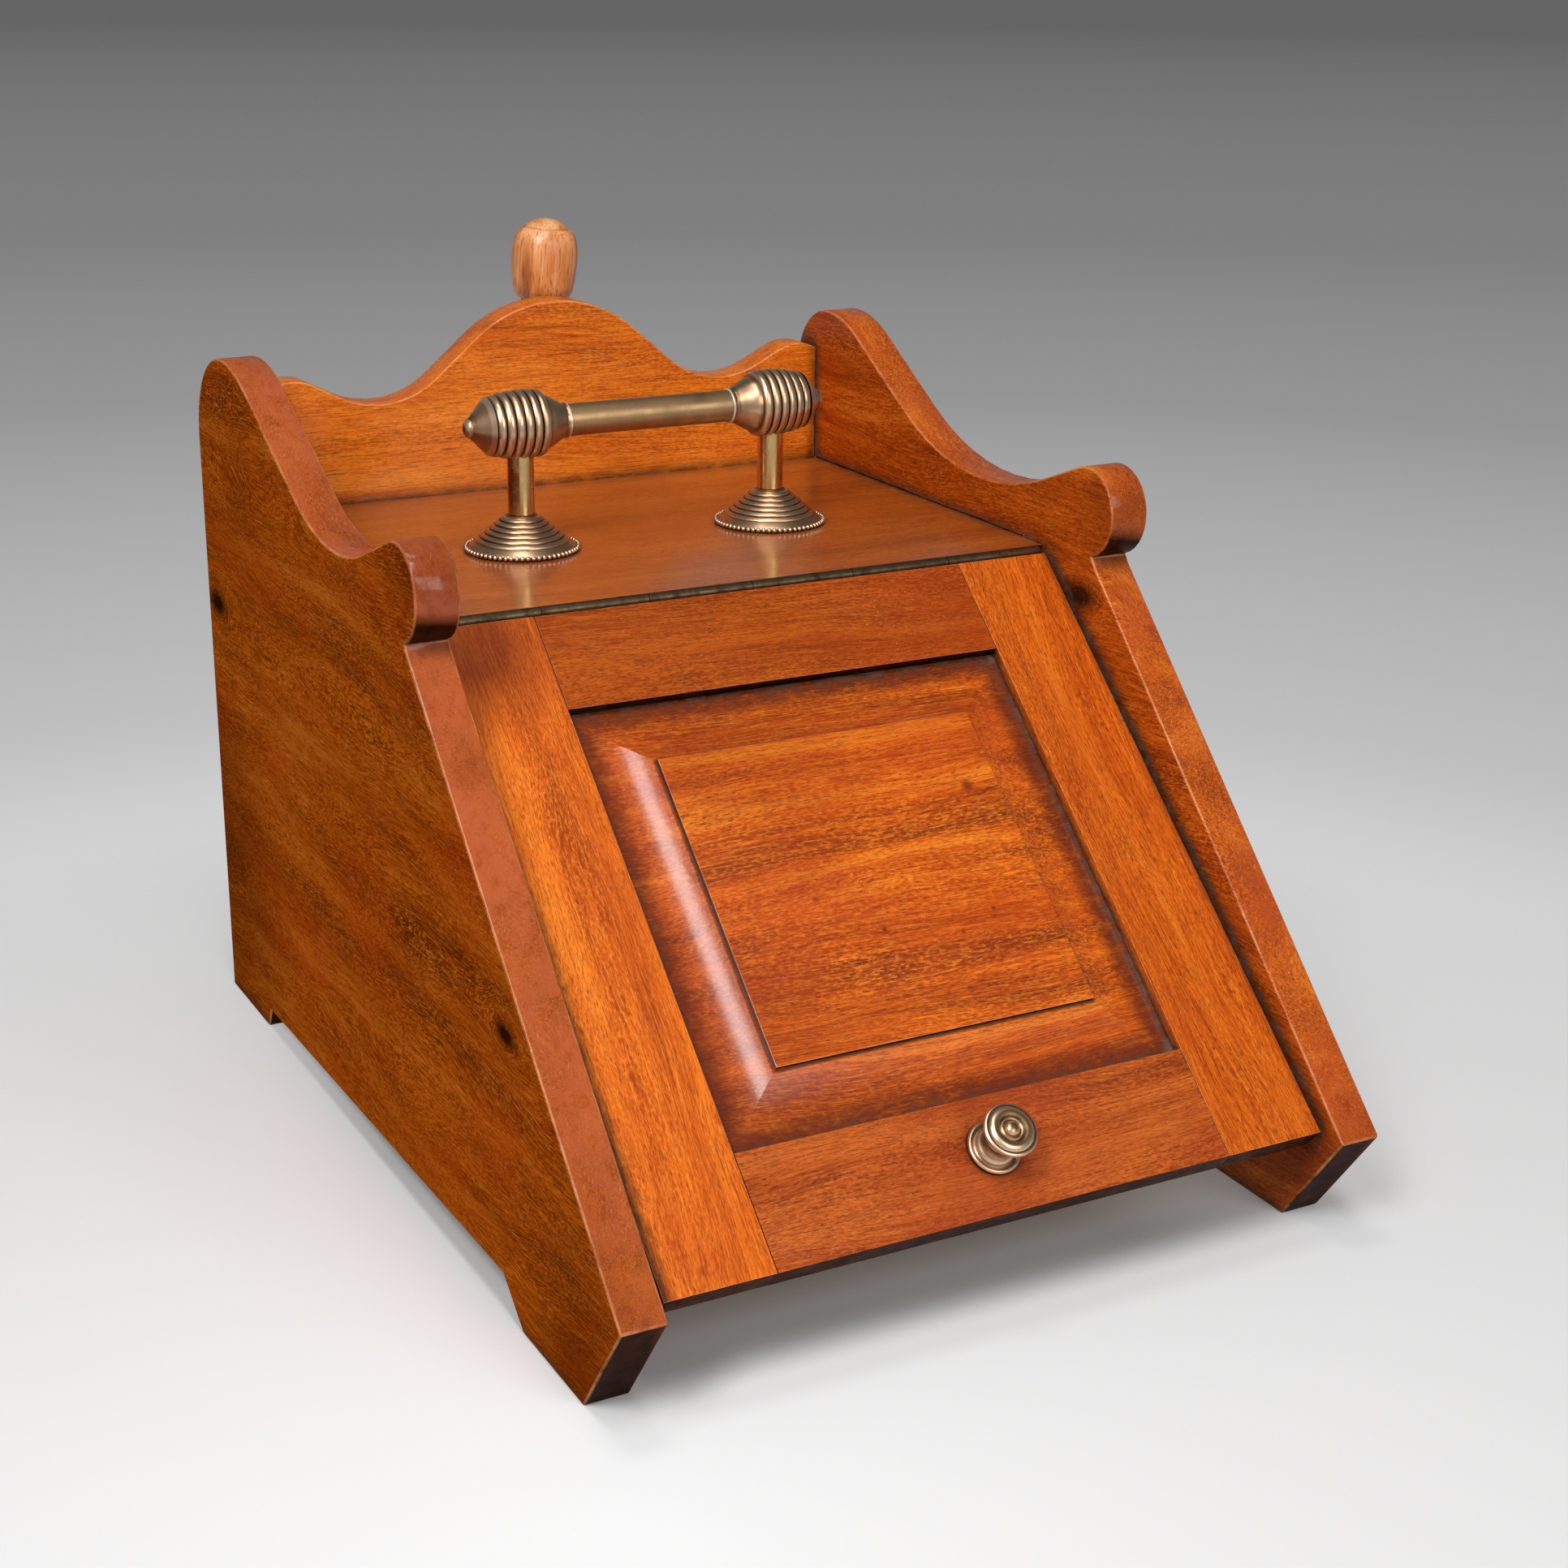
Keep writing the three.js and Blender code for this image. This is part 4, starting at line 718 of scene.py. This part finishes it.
panel = {
    # mm in the lid's own frame
    "halfX": 111.2,  # to the end of the tongue
    "low": -259.55,
    "top": -44.05,
    "tongue": 6,
    "flat": 5,
    "border": 30,
    "fillet": 1.6,
    "drop": 5.5,  # from the lid's face to the tongue
    "coveTop": 1.0,
    "proud": 1.0,
    "back": 9.5,
    "softness": 0.35,
    "curve": 2.0,  # power of the cove's rise
    "perSide": 24,  # points along each side
    "dirtAndShadeReach": 10,
    "crease": 13,  # degrees
}


def makePanel(size):
    # the moulding's section is carried round the panel: each of its points, at a distance in from
    # the edge and at a height, is a rectangle, and the four rectangles' corners are the mitres
    face = slope["face"]
    tongueFace = face - size["drop"]
    halfX = size["halfX"]
    halfY = (size["top"] - size["low"]) / 2
    middleY = (size["top"] + size["low"]) / 2
    coveStart = size["tongue"] + size["flat"]
    coveEnd = size["tongue"] + size["border"] - size["fillet"]
    rise = face - size["coveTop"] - tongueFace
    share = np.linspace(0, 1, 26)
    cove = np.stack([coveStart + (coveEnd - coveStart) * share,
                     tongueFace + rise * share ** size["curve"]], axis=1)
    step = size["tongue"] + size["border"]
    soft = size["softness"]
    turn = np.linspace(0, np.pi / 2, 5)
    top = face + size["proud"]
    arris = np.stack([step + soft * (1 - np.cos(turn)), top - soft + soft * np.sin(turn)], axis=1)
    section = np.concatenate([
        [[0, face - size["back"]], [0, tongueFace], [size["tongue"] + 0.5, tongueFace]],
        cove,
        [[step - 0.15, face - size["coveTop"]], [step, face - size["coveTop"] + 0.2]],
        arris,
    ])
    perSide = size["perSide"]
    along = np.linspace(-1, 1, perSide, endpoint=False)
    corner = np.concatenate([
        np.stack([along, -np.ones(perSide)], axis=1), np.stack([np.ones(perSide), along], axis=1),
        np.stack([-along, np.ones(perSide)], axis=1), np.stack([-np.ones(perSide), -along], axis=1)])
    halves = np.stack([halfX - section[:, 0], halfY - section[:, 0]], axis=1)
    points = np.empty((len(section), len(corner), 3))
    points[..., :2] = corner[None] * halves[:, None]
    points[..., 1] += middleY
    points[..., 2] = section[:, 1, None]
    count = len(corner)
    mesh = bpy.data.meshes.new("raised_panel")
    mesh.from_pydata((points.reshape(-1, 3) * mm).tolist(), [], tubeFaces(len(section), count))
    mesh.transform(slopePlace)
    wear = np.zeros((len(section), count))
    wear[-4:-1] = 1.0  # the raised field's arris
    setAttribute(mesh, "wear", wear.ravel())
    # dark polish and painted shade: 0.8 on the tongue and its flat, fading up the cove, and 1 on the
    # raised field's step
    inward = section[:, 0]
    dirtAndShade = 0.8 * (1 - smoothStep((inward - coveStart) / size["dirtAndShadeReach"]))
    dirtAndShade[(inward > coveEnd + 1) & (section[:, 1] < top - soft + 0.01)] = 1.0
    setAttribute(mesh, "dirtAndShade", np.repeat(dirtAndShade, count))
    mesh.shade_smooth()
    mesh.set_sharp_from_angle(angle=math.radians(size["crease"]))
    return mesh


addPiece("raised_panel", makePanel(panel), woods["panel"], "lid", "mahogany", "lid_panel")
print("panel ready")

handle = {
    # mm; along the bar from the middle of a base
    "barRadius": 7.4,
    "barrelRadius": 15.8,
    "neck": 8.2,
    "inner": 23.2,
    "outer": 27.2,
    "ringCount": 6,
    "ringPitch": 4.28,
    "ringStart": -10.2,
    "ringCrown": 1.5,
    "ringDrop": 0.16,
    "ringDepth": 1.5,
    "cone": 13.3,
    "tip": 4.6,
    "blunt": 2.9,  # mm of the tip that is rounded
    "postRadius": 6.2,
    "studRadius": 3.0,
    "ribPower": 0.36,
    "chalk": 0.6,  # share and reach of dried polish at the inner end
    "steps": 96,
}


def barrelOutline(size):
    # bulb: an eased rise; rings: half-round ribs on a crowned barrel; tip: a cone, then a quarter
    # of an ellipse
    crownDrop = size["ringDrop"] * size["ringCrown"] ** 2
    bulbEnd = size["barrelRadius"] - crownDrop - size["ringDepth"] - 1.0
    bulb = np.linspace(-size["inner"] + 0.3, size["ringStart"] - 0.1, 26)
    rise = smoothStep((bulb + size["inner"] - 1.6) / (size["inner"] + size["ringStart"] - 1.2))
    bulbRadius = size["neck"] - 0.35 * np.exp(-(bulb + size["inner"] - 2.2) ** 2)  # a shallow groove
    bulbRadius = bulbRadius + (bulbEnd - size["neck"]) * rise ** 0.85
    ringsEnd = size["ringStart"] + size["ringCount"] * size["ringPitch"]
    rings = np.linspace(size["ringStart"], ringsEnd, size["ringCount"] * 12 + 1)
    index = (rings - size["ringStart"]) / size["ringPitch"]
    crown = size["barrelRadius"] - size["ringDrop"] * (index - 0.5 - size["ringCrown"]) ** 2
    ringRadius = crown - size["ringDepth"] * (1 - rib(index, size["ribPower"]))
    run = np.linspace(0, 1, 16)
    cone = ringsEnd + 0.3 + (size["outer"] - size["blunt"] - ringsEnd - 0.3) * run
    coneRadius = size["tip"] + (size["cone"] - size["tip"]) * (1 - run) ** 1.06
    bend = np.linspace(0.12, 1, 9)
    roundRadius = np.maximum(size["tip"] * np.sqrt(1 - bend ** 2), 0.3)
    start = [[size["barRadius"] + 0.1, -size["inner"]], [size["neck"] - 0.2, -size["inner"]]]
    return np.concatenate([
        start, np.stack([bulbRadius, bulb], axis=1), np.stack([ringRadius, rings], axis=1),
        np.stack([coneRadius, cone], axis=1),
        np.stack([roundRadius, size["outer"] - size["blunt"] * (1 - bend)], axis=1)])


base = {
    "radius": 27.2,
    "height": 16.4,
    "beadCount": 64,
    "beadRadius": 1.2,
    "flangeOut": 24.9,
    "flangeIn": 21.6,
    "flangeRise": 4.3,
    "rimRise": 1.7,
    "topRadius": 7.6,
    "ringCount": 6,
    "ringDepth": 0.8,
    "ribPower": 0.4,
}


def baseOutline(size):
    # rim, a convex flange, then ribs that stand square to a straight cone
    flange = np.linspace(0, 1, 14)
    flangeRadius = size["flangeOut"] + (size["flangeIn"] - size["flangeOut"]) * flange
    flangeHeight = size["rimRise"] + (size["flangeRise"] - size["rimRise"]) * flange ** 0.8
    cone = np.linspace(0, 1, size["ringCount"] * 11 + 1)
    low = np.array([size["flangeIn"], size["flangeRise"] - 0.4])
    high = np.array([size["topRadius"], size["height"] - 0.9])
    outward = np.array([high[1] - low[1], low[0] - high[0]])
    outward = outward / np.linalg.norm(outward)
    ribs = size["ringDepth"] * rib(cone * size["ringCount"], size["ribPower"])
    ridge = low + (high - low) * cone[:, None] + outward * ribs[:, None]
    return np.concatenate([
        [[size["radius"] - 2.2, 0], [size["radius"] - 2.0, 0.25], [size["radius"] - 2.1, 1.2]],
        np.stack([flangeRadius, flangeHeight], axis=1),
        ridge,
        [[6.6, size["height"] - 0.15], [6.4, size["height"]]]])


def beadRow(mesh, size, place):
    # small balls on a circle: centre (R cos a, R sin a, z), each a coarse grid of two angles
    around, rings = 8, 4
    turns = np.linspace(0, 2 * np.pi, size["beadCount"], endpoint=False)
    theta = np.linspace(0, 2 * np.pi, around, endpoint=False)
    phi = np.linspace(0, np.pi, rings + 2)[1:-1]
    ball = np.stack([np.sin(phi)[:, None] * np.cos(theta), np.sin(phi)[:, None] * np.sin(theta),
                     np.broadcast_to(np.cos(phi)[:, None], (rings, around))], axis=-1).reshape(-1, 3)
    ball = np.concatenate([ball, [[0, 0, 1], [0, 0, -1]]]) * size["beadRadius"]
    circle = size["radius"] - size["beadRadius"] - 0.02
    centres = np.stack([circle * np.cos(turns), circle * np.sin(turns),
                        np.full(len(turns), size["beadRadius"] + 0.02)], axis=1)
    points = (centres[:, None] + ball[None]).reshape(-1, 3) * mm
    top, bottom, low = len(ball) - 2, len(ball) - 1, (rings - 1) * around
    one = gridFaces(rings, around)[:, ::-1].tolist()
    one += [[top, i, (i + 1) % around] for i in range(around)]
    one += [[bottom, low + (i + 1) % around, low + i] for i in range(around)]
    faces = [[corner + len(ball) * i for corner in face] for i in range(len(turns)) for face in one]
    beads = bpy.data.meshes.new("beads")
    beads.from_pydata(placed(points, place), [], faces)
    setAttribute(beads, "wear", np.full(len(points), 0.9))
    beads.shade_smooth()
    work = bmesh.new()
    work.from_mesh(mesh)
    work.from_mesh(beads)
    bmesh.ops.recalc_face_normals(work, faces=work.faces)
    work.to_mesh(mesh)
    work.free()
    bpy.data.meshes.remove(beads)
    return mesh


def addBrass(name, outline, place, steps, body, *replaced, finish="cast"):
    # the outline carried round its own axis, in the brass that finish names
    mesh = turnedMesh(name, outline, place, steps)
    addPiece(name, mesh, brasses[finish], body, "antique_brass", *replaced)


barLow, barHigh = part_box("handle_bar")
barMiddle = (barLow + barHigh) / 2
for hand, sign in (("left", -1), ("right", 1)):
    baseLow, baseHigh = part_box("handle_base_" + hand)
    postLow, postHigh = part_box("handle_post_" + hand)
    foot = Vector(((baseLow.x + baseHigh.x) / 2, (baseLow.y + baseHigh.y) / 2, baseLow.z))
    upright = Matrix.Translation(foot)
    mesh = beadRow(turnedMesh("base", baseOutline(base), upright, handle["steps"]), base, upright)
    addPiece("beaded_base_" + hand, mesh, brasses["cast"], "case", "antique_brass", "handle_base_" + hand)

    barrelPlace = aim(Vector((foot.x, foot.y, barMiddle.z)), Vector((sign, 0, 0)))
    mesh = turnedMesh("barrel", barrelOutline(handle), barrelPlace, handle["steps"])
    along = np.array([vertex.co.x for vertex in mesh.vertices]) / mm * sign
    fromInner = along - foot.x / mm * sign + handle["inner"]
    setAttribute(mesh, "chalk", np.where(fromInner < handle["chalk"], handle["chalk"], 0.0))
    addPiece("ringed_barrel_" + hand, mesh, brasses["cast"], "case", "antique_brass",
             "handle_barrel_" + hand)

    postFoot = (baseHigh.z - foot.z) / mm + 0.3
    postTop = (postHigh.z - foot.z) / mm
    stud = (postLow.z - foot.z) / mm
    radius = handle["studRadius"]
    outline = [(radius - 0.5, stud), (radius, stud + 0.5), (radius, postFoot),
               (handle["postRadius"], postFoot), (handle["postRadius"], postTop)]
    addBrass("turned_post_" + hand, outline, upright, 64, "case", "handle_post_" + hand, finish="post")

outline = [(handle["barRadius"], 0), (handle["barRadius"], (barHigh.x - barLow.x) / mm)]
barPlace = aim(Vector((barLow.x, barMiddle.y, barMiddle.z)), Vector((1, 0, 0)))
addBrass("drawn_bar", outline, barPlace, 72, "case", "handle_bar", finish="bar")
print("handle ready")

knob = {
    "x": 2.1,
    "rise": 27,  # mm from the lid's lower end
    "radius": 11.4,
    "height": 21,
    "stem": 4.6,
    "bolt": 2.5,
    "boltEnd": -19.2,
    "bowl": 3,  # mm from the rose's top to the bowl
    "roseRadius": 11.5,
    "roseHeight": 6.4,
    # the rings of the face: mm in from the rim and down from the top
    "face": ((0, 3.6), (0, 2.9), (0.4, 2.5), (0.9, 2.4), (1.2, 3.0), (1.5, 3.0), (1.8, 2.2), (2.6, 1.5),
             (3.6, 1.1), (4.6, 1.05), (5.5, 1.3), (6.0, 1.9), (6.2, 2.1), (6.5, 1.7), (7.0, 1.4),
             (7.5, 1.6), (7.9, 2.1), (8.2, 2.1), (8.5, 1.2), (9.2, 0.45), (10.2, 0.08)),
    # the rose inside its rim: mm in from its edge and up from its foot
    "roseFace": ((2.5, 1.3), (2.9, 1.6), (3.2, 2.8), (3.8, 3.6), (4.8, 4.3), (5.4, 5.4), (5.6, 6.2)),
}


def knobOutline(size):
    # bolt, waisted stem, a bowl out to the rim, then the rings of the face down to the button
    radius, height, stem = size["radius"], size["height"], size["stem"]
    foot = size["roseHeight"] + 0.3
    low = foot + size["bowl"]
    bowl = np.linspace(0, 1, 16)
    bowlRadius = stem + 0.2 + (radius - 0.3 - stem) * smoothStep(bowl * 0.94) ** 0.9
    face = [(radius - inset, height - drop) for inset, drop in size["face"]]
    return np.concatenate([
        [[size["bolt"], size["boltEnd"]], [size["bolt"], foot], [stem + 0.6, foot],
         [stem + 0.8, foot + 0.6], [stem + 0.1, foot + 1.4], [stem - 0.2, foot + 2.4]],
        np.stack([bowlRadius, low + (height - 4.2 - low) * bowl], axis=1),
        face,
        [[0.3, height]]])


def roseOutline(size):
    # a rolled rim, a groove, and an inner cone that rises to the stem
    radius = size["roseRadius"]
    roll = np.linspace(-0.3, np.pi - 0.3, 10)
    rim = np.stack([radius - 1.1 + 1.1 * np.cos(roll), 1.1 + 1.0 * np.sin(roll)], axis=1)
    face = [(radius - inset, rise) for inset, rise in size["roseFace"]]
    return np.concatenate([[[radius - 0.7, 0]], rim, face, [[size["stem"] + 0.7, size["roseHeight"]]]])


knobRise = knob["rise"] - slope["topGap"] - slope["length"]
knobFoot = slopePlace @ (Vector((knob["x"], knobRise, slope["face"] + 0.3)) * mm)
knobPlace = aim(knobFoot, (slopeTurn @ Vector((0, 0, 1, 0))).to_3d())
addBrass("turned_knob", knobOutline(knob), knobPlace, 72, "lid", "knob")
addBrass("turned_rose", roseOutline(knob), knobPlace, 72, "lid", "knob_rose")
print("knob ready")

lean = math.radians(shovelLine["lean"])
shovelFoot = Vector((shovelLine["capX"] - shovelLine["length"] * math.sin(lean), shovelLine["y"],
                     shovelLine["lipZ"])) * mm
shovelPlace = Matrix.Translation(shovelFoot) @ Matrix.Rotation(lean, 4, "Y")

grip = {
    "length": 104,
    "tenon": 9.6,
    "ferruleTop": 231.7,  # mm from the pan's lip
    "belly": 12.5,
    "swell": 1.4,  # mm that the belly is fuller in its middle
    "taper": 1.5,  # mm that it thins towards the head
    "headDepth": 36.2,  # mm from the cap down to the belly
    "capRadius": 11.3,
    "capRise": 5,
    "steps": 96,
    "crease": 50,  # degrees
    # depth under the cap and radius of the turned head, mm
    "head": ((35, 13.6), (33.6, 14.5), (31.8, 15.3), (30.1, 15.7), (25.4, 16.3), (20.7, 16.8), (16, 17.05),
             (10.8, 16.9), (6.7, 16.3), (3.4, 15.2), (0.8, 13.5), (0, 12.0)),
}


def gripOutline(size):
    # tenon; belly: a half wave that thins upwards; the head's radii, joined by straight runs; a low
    # domed cap
    top = shovelLine["length"]
    foot = top - size["length"]
    start = size["ferruleTop"]
    belly = np.linspace(0, 1, 24)
    bellyHeight = start + (top - size["headDepth"] - start) * belly
    swell = size["swell"] * np.sin(np.pi * belly * 1.05)
    bellyRadius = size["belly"] + swell - size["taper"] * belly ** 2
    depth, radius = np.array(size["head"]).T
    fine = np.linspace(0, 1, 40)
    spread = np.linspace(0, 1, len(depth))
    head = np.stack([np.interp(fine, spread, radius), top - np.interp(fine, spread, depth)], axis=1)
    dome = np.linspace(0, 1, 12)
    capHeight = top - 0.25 + (size["capRise"] + 0.2) * np.sin(dome * np.pi / 2)
    cap = np.stack([size["capRadius"] * (1 - dome ** 1.3) + 0.2, capHeight], axis=1)
    return np.concatenate([
        [[size["tenon"], foot], [size["tenon"], start]],
        np.stack([bellyRadius, bellyHeight], axis=1),
        [[12.6, top - 35.9], [13.2, top - 35.5]],
        head,
        [[11.7, top - 0.1], [11.5, top - 0.5]],
        cap])


gripMesh = turnedMesh("grip", gripOutline(grip), shovelPlace, grip["steps"], grip["crease"])
addPiece("turned_grip", gripMesh, beech, "shovel", "beech", "shovel_grip")

gripFoot = shovelLine["length"] - grip["length"]
shovelBrass = {
    # radius, and mm up from the foot of the ferrule or of the shank's collar
    "ferrule": ((5.5, 0), (10.0, 0), (11.6, 0.8), (12.1, 2.2), (12.1, 15.6), (12.7, 16.2),
                (12.9, 17.4), (12.9, 19.2), (12.4, 19.7), (9.9, 19.7)),
    "shank": ((6.2, -4.2), (7, -2.2), (4, -2.2), (4, 0), (8, 0), (8, 1.8), (7.4, 3), (5.4, 4.5),
              (5, 6)),
    "ferruleFoot": -1.8,  # mm from the grip's lower end
    "collarFoot": 140.3,  # mm from the pan's lip
    "shankEnd": 33.7,  # mm that the shank reaches into the grip
}
outline = [(radius, gripFoot + shovelBrass["ferruleFoot"] + rise)
           for radius, rise in shovelBrass["ferrule"]]
addBrass("turned_ferrule", outline, shovelPlace, 72, "shovel", "shovel_ferrule", finish="sheet")
outline = [(radius, shovelBrass["collarFoot"] + rise) for radius, rise in shovelBrass["shank"]]
outline.append((shovelBrass["shank"][-1][0], gripFoot + shovelBrass["shankEnd"]))
addBrass("turned_shank", outline, shovelPlace, 64, "shovel", "shovel_shank", finish="sheet")
eased("shovel_pan", brasses["sheet"], "antique_brass", 0.6)
eased("shovel_strap", brasses["sheet"], "antique_brass", 0.4, 2)
eased("liner", blackSteel, "blackened_steel", 0.4, 2)
print("shovel ready")

# nodes that keep their own shape, found by the start of their names
plainNodes = {
    "hinge_": brasses["hinge"], "shovel_strap_screw": brasses["sheet"], "knob_nut": steel,
    "handle_washer": steel, "handle_nut": steel, "back_panel_screw": steel,
}
for start, material in plainNodes.items():
    for node in nodes:
        if node.startswith(start):
            for slot in nodes[node].material_slots:
                slot.link = "OBJECT"
                slot.material = material
print("fittings ready")

floor = {
    "size": 80,  # m
    "middle": (-0.2, -0.3),  # the brightest spot
    "reach": 12,  # m to the end of the ramp
    # the greys of a painted pool of light, from the brightest spot outwards
    "stops": ((0.0, "#eeeeee"), (0.021, "#e4e4e4"), (0.042, "#dedede"), (0.0625, "#d4d4d4"),
              (0.083, "#bfbfbf"), (0.125, "#aeaeae"), (0.183, "#959595"), (0.308, "#808080"),
              (0.975, "#656565")),
    "lampReach": (0.3, 0.8),  # m over which the floor's glowing grey, a painted fall-off of light, takes over from the lamps
}


def makeFloor(size):
    # grey = ramp(distance from the brightest spot / reach): a painted pool of light that falls off
    # outwards, lit by the lamps near the box and, further out, where the lamps don't reach, glowing in the
    # same grey
    half = size["size"] / 2
    mesh = bpy.data.meshes.new("studio_floor")
    mesh.from_pydata([(-half, -half, 0), (half, -half, 0), (half, half, 0), (-half, half, 0)], [],
                     [(0, 1, 2, 3)])
    material, tree = newMaterial("Studio floor, matt, painted pool of light")
    place = addNode(tree, "TexCoord").outputs["Object"]
    away = addNode(tree, "Mapping", {
        "Location": (-size["middle"][0], -size["middle"][1], 0), "Vector": place}).outputs[0]
    distance = addNode(tree, "VectorMath", {"operation": "LENGTH", 0: away}).outputs[1]
    share = addNode(tree, "Math", {"operation": "DIVIDE", 0: distance, 1: size["reach"]})
    ramp = addNode(tree, "ValToRGB", {0: share.outputs[0]})
    setRamp(ramp, size["stops"])
    paint = addNode(tree, "BsdfDiffuse", {"Color": ramp.outputs[0]})
    paintedGlow = addNode(tree, "Emission", {"Color": ramp.outputs[0]})
    beyond = product(tree, (distance, *size["lampReach"]))
    mix = addNode(tree, "MixShader", {0: beyond, 1: paint.outputs[0], 2: paintedGlow.outputs[0]})
    addNode(tree, "OutputMaterial", {"Surface": mix.outputs[0]})
    mesh.materials.append(material)
    piece = bpy.data.objects.new("studio_floor", mesh)
    bpy.context.scene.collection.objects.link(piece)


lamps = {
    # name: place in m, aimed at, width and height in m, watts
    "left softbox": ((-1.3, -1.0, 1.75), (0, -0.05, 0.15), 0.6, 0.9, 29),
    "front softbox": ((0.5, -2.7, 1.5), (0, 0, 0.15), 1.4, 1.4, 30),
    "overhead strip": ((-0.34, -1.1, 2.3), (-0.06, -0.16, 0.14), 0.36, 1.0, 15),
    "top softbox": ((-0.15, 0.0, 2.3), (-0.05, 0, 0.25), 0.5, 0.5, 6),
}


def makeLamps(lamps):
    # each lamp's -Z looks from its place at its target
    for name, (place, target, width, height, watts) in lamps.items():
        light = bpy.data.lights.new(name, "AREA")
        light.shape = "RECTANGLE"
        light.size = width
        light.size_y = height
        light.energy = watts
        lamp = bpy.data.objects.new(name, light)
        lamp.location = place
        lamp.rotation_euler = (Vector(target) - Vector(place)).to_track_quat("-Z", "Y").to_euler()
        bpy.context.scene.collection.objects.link(lamp)


room = {
    "stops": ((0.0, "#8a8a8a"), (0.5, "#a0a0a0"), (0.72, "#808080"), (0.86, "#646464"),
              (1.0, "#5c5c5c")),
    "left": 1.3,  # share of the room's light from the left
    "right": 0.6,
    "backdrop": "#656565",
}


def makeWorld(size):
    # soft room light, ramp((z + 1) / 2) x a strength that runs from left to right; the camera sees
    # the backdrop's grey
    world = bpy.data.worlds.new("studio")
    bpy.context.scene.world = world
    world.use_nodes = True
    tree = world.node_tree
    tree.nodes.clear()
    place = addNode(tree, "TexCoord").outputs["Generated"]
    direction = addNode(tree, "SeparateXYZ", {0: place})
    ramp = addNode(tree, "ValToRGB", {0: product(tree, (direction.outputs[2], -1.0, 1.0))})
    setRamp(ramp, size["stops"])
    glow = addNode(tree, "Background", {
        "Color": ramp.outputs[0],
        "Strength": product(tree, (direction.outputs[0], -1.0, 1.0, size["left"], size["right"]))})
    backdrop = addNode(tree, "Background", {"Color": linear(size["backdrop"])})
    seen = addNode(tree, "LightPath").outputs["Is Camera Ray"]
    mix = addNode(tree, "MixShader", {0: seen, 1: glow.outputs[0], 2: backdrop.outputs[0]})
    addNode(tree, "OutputWorld", {"Surface": mix.outputs[0]})


camera = {
    "place": (-0.50787, -0.99931, 0.53606),
    "heading": -28.251,  # degrees from +Y
    "down": 18.903,
    "roll": 0.563,
    "lens": 59.03,  # mm, on a sensor 36 mm wide
    "sensor": 36,
    "clipEnd": 200,  # m
}


def makeCamera(size):
    # turned by its roll about its own axis, then tipped up from straight down, then to its heading
    data = bpy.data.cameras.new("camera")
    data.lens = size["lens"]
    data.sensor_width = size["sensor"]
    data.clip_end = size["clipEnd"]
    view = bpy.data.objects.new("camera", data)
    turn = (Matrix.Rotation(math.radians(size["heading"]), 4, "Z")
            @ Matrix.Rotation(math.radians(90 - size["down"]), 4, "X")
            @ Matrix.Rotation(math.radians(size["roll"]), 4, "Z"))
    view.matrix_world = Matrix.Translation(size["place"]) @ turn
    bpy.context.scene.collection.objects.link(view)
    bpy.context.scene.camera = view


makeFloor(floor)
makeLamps(lamps)
makeWorld(room)
makeCamera(camera)
bpy.context.scene.view_settings.view_transform = "Standard"
print("floor, light and camera ready")
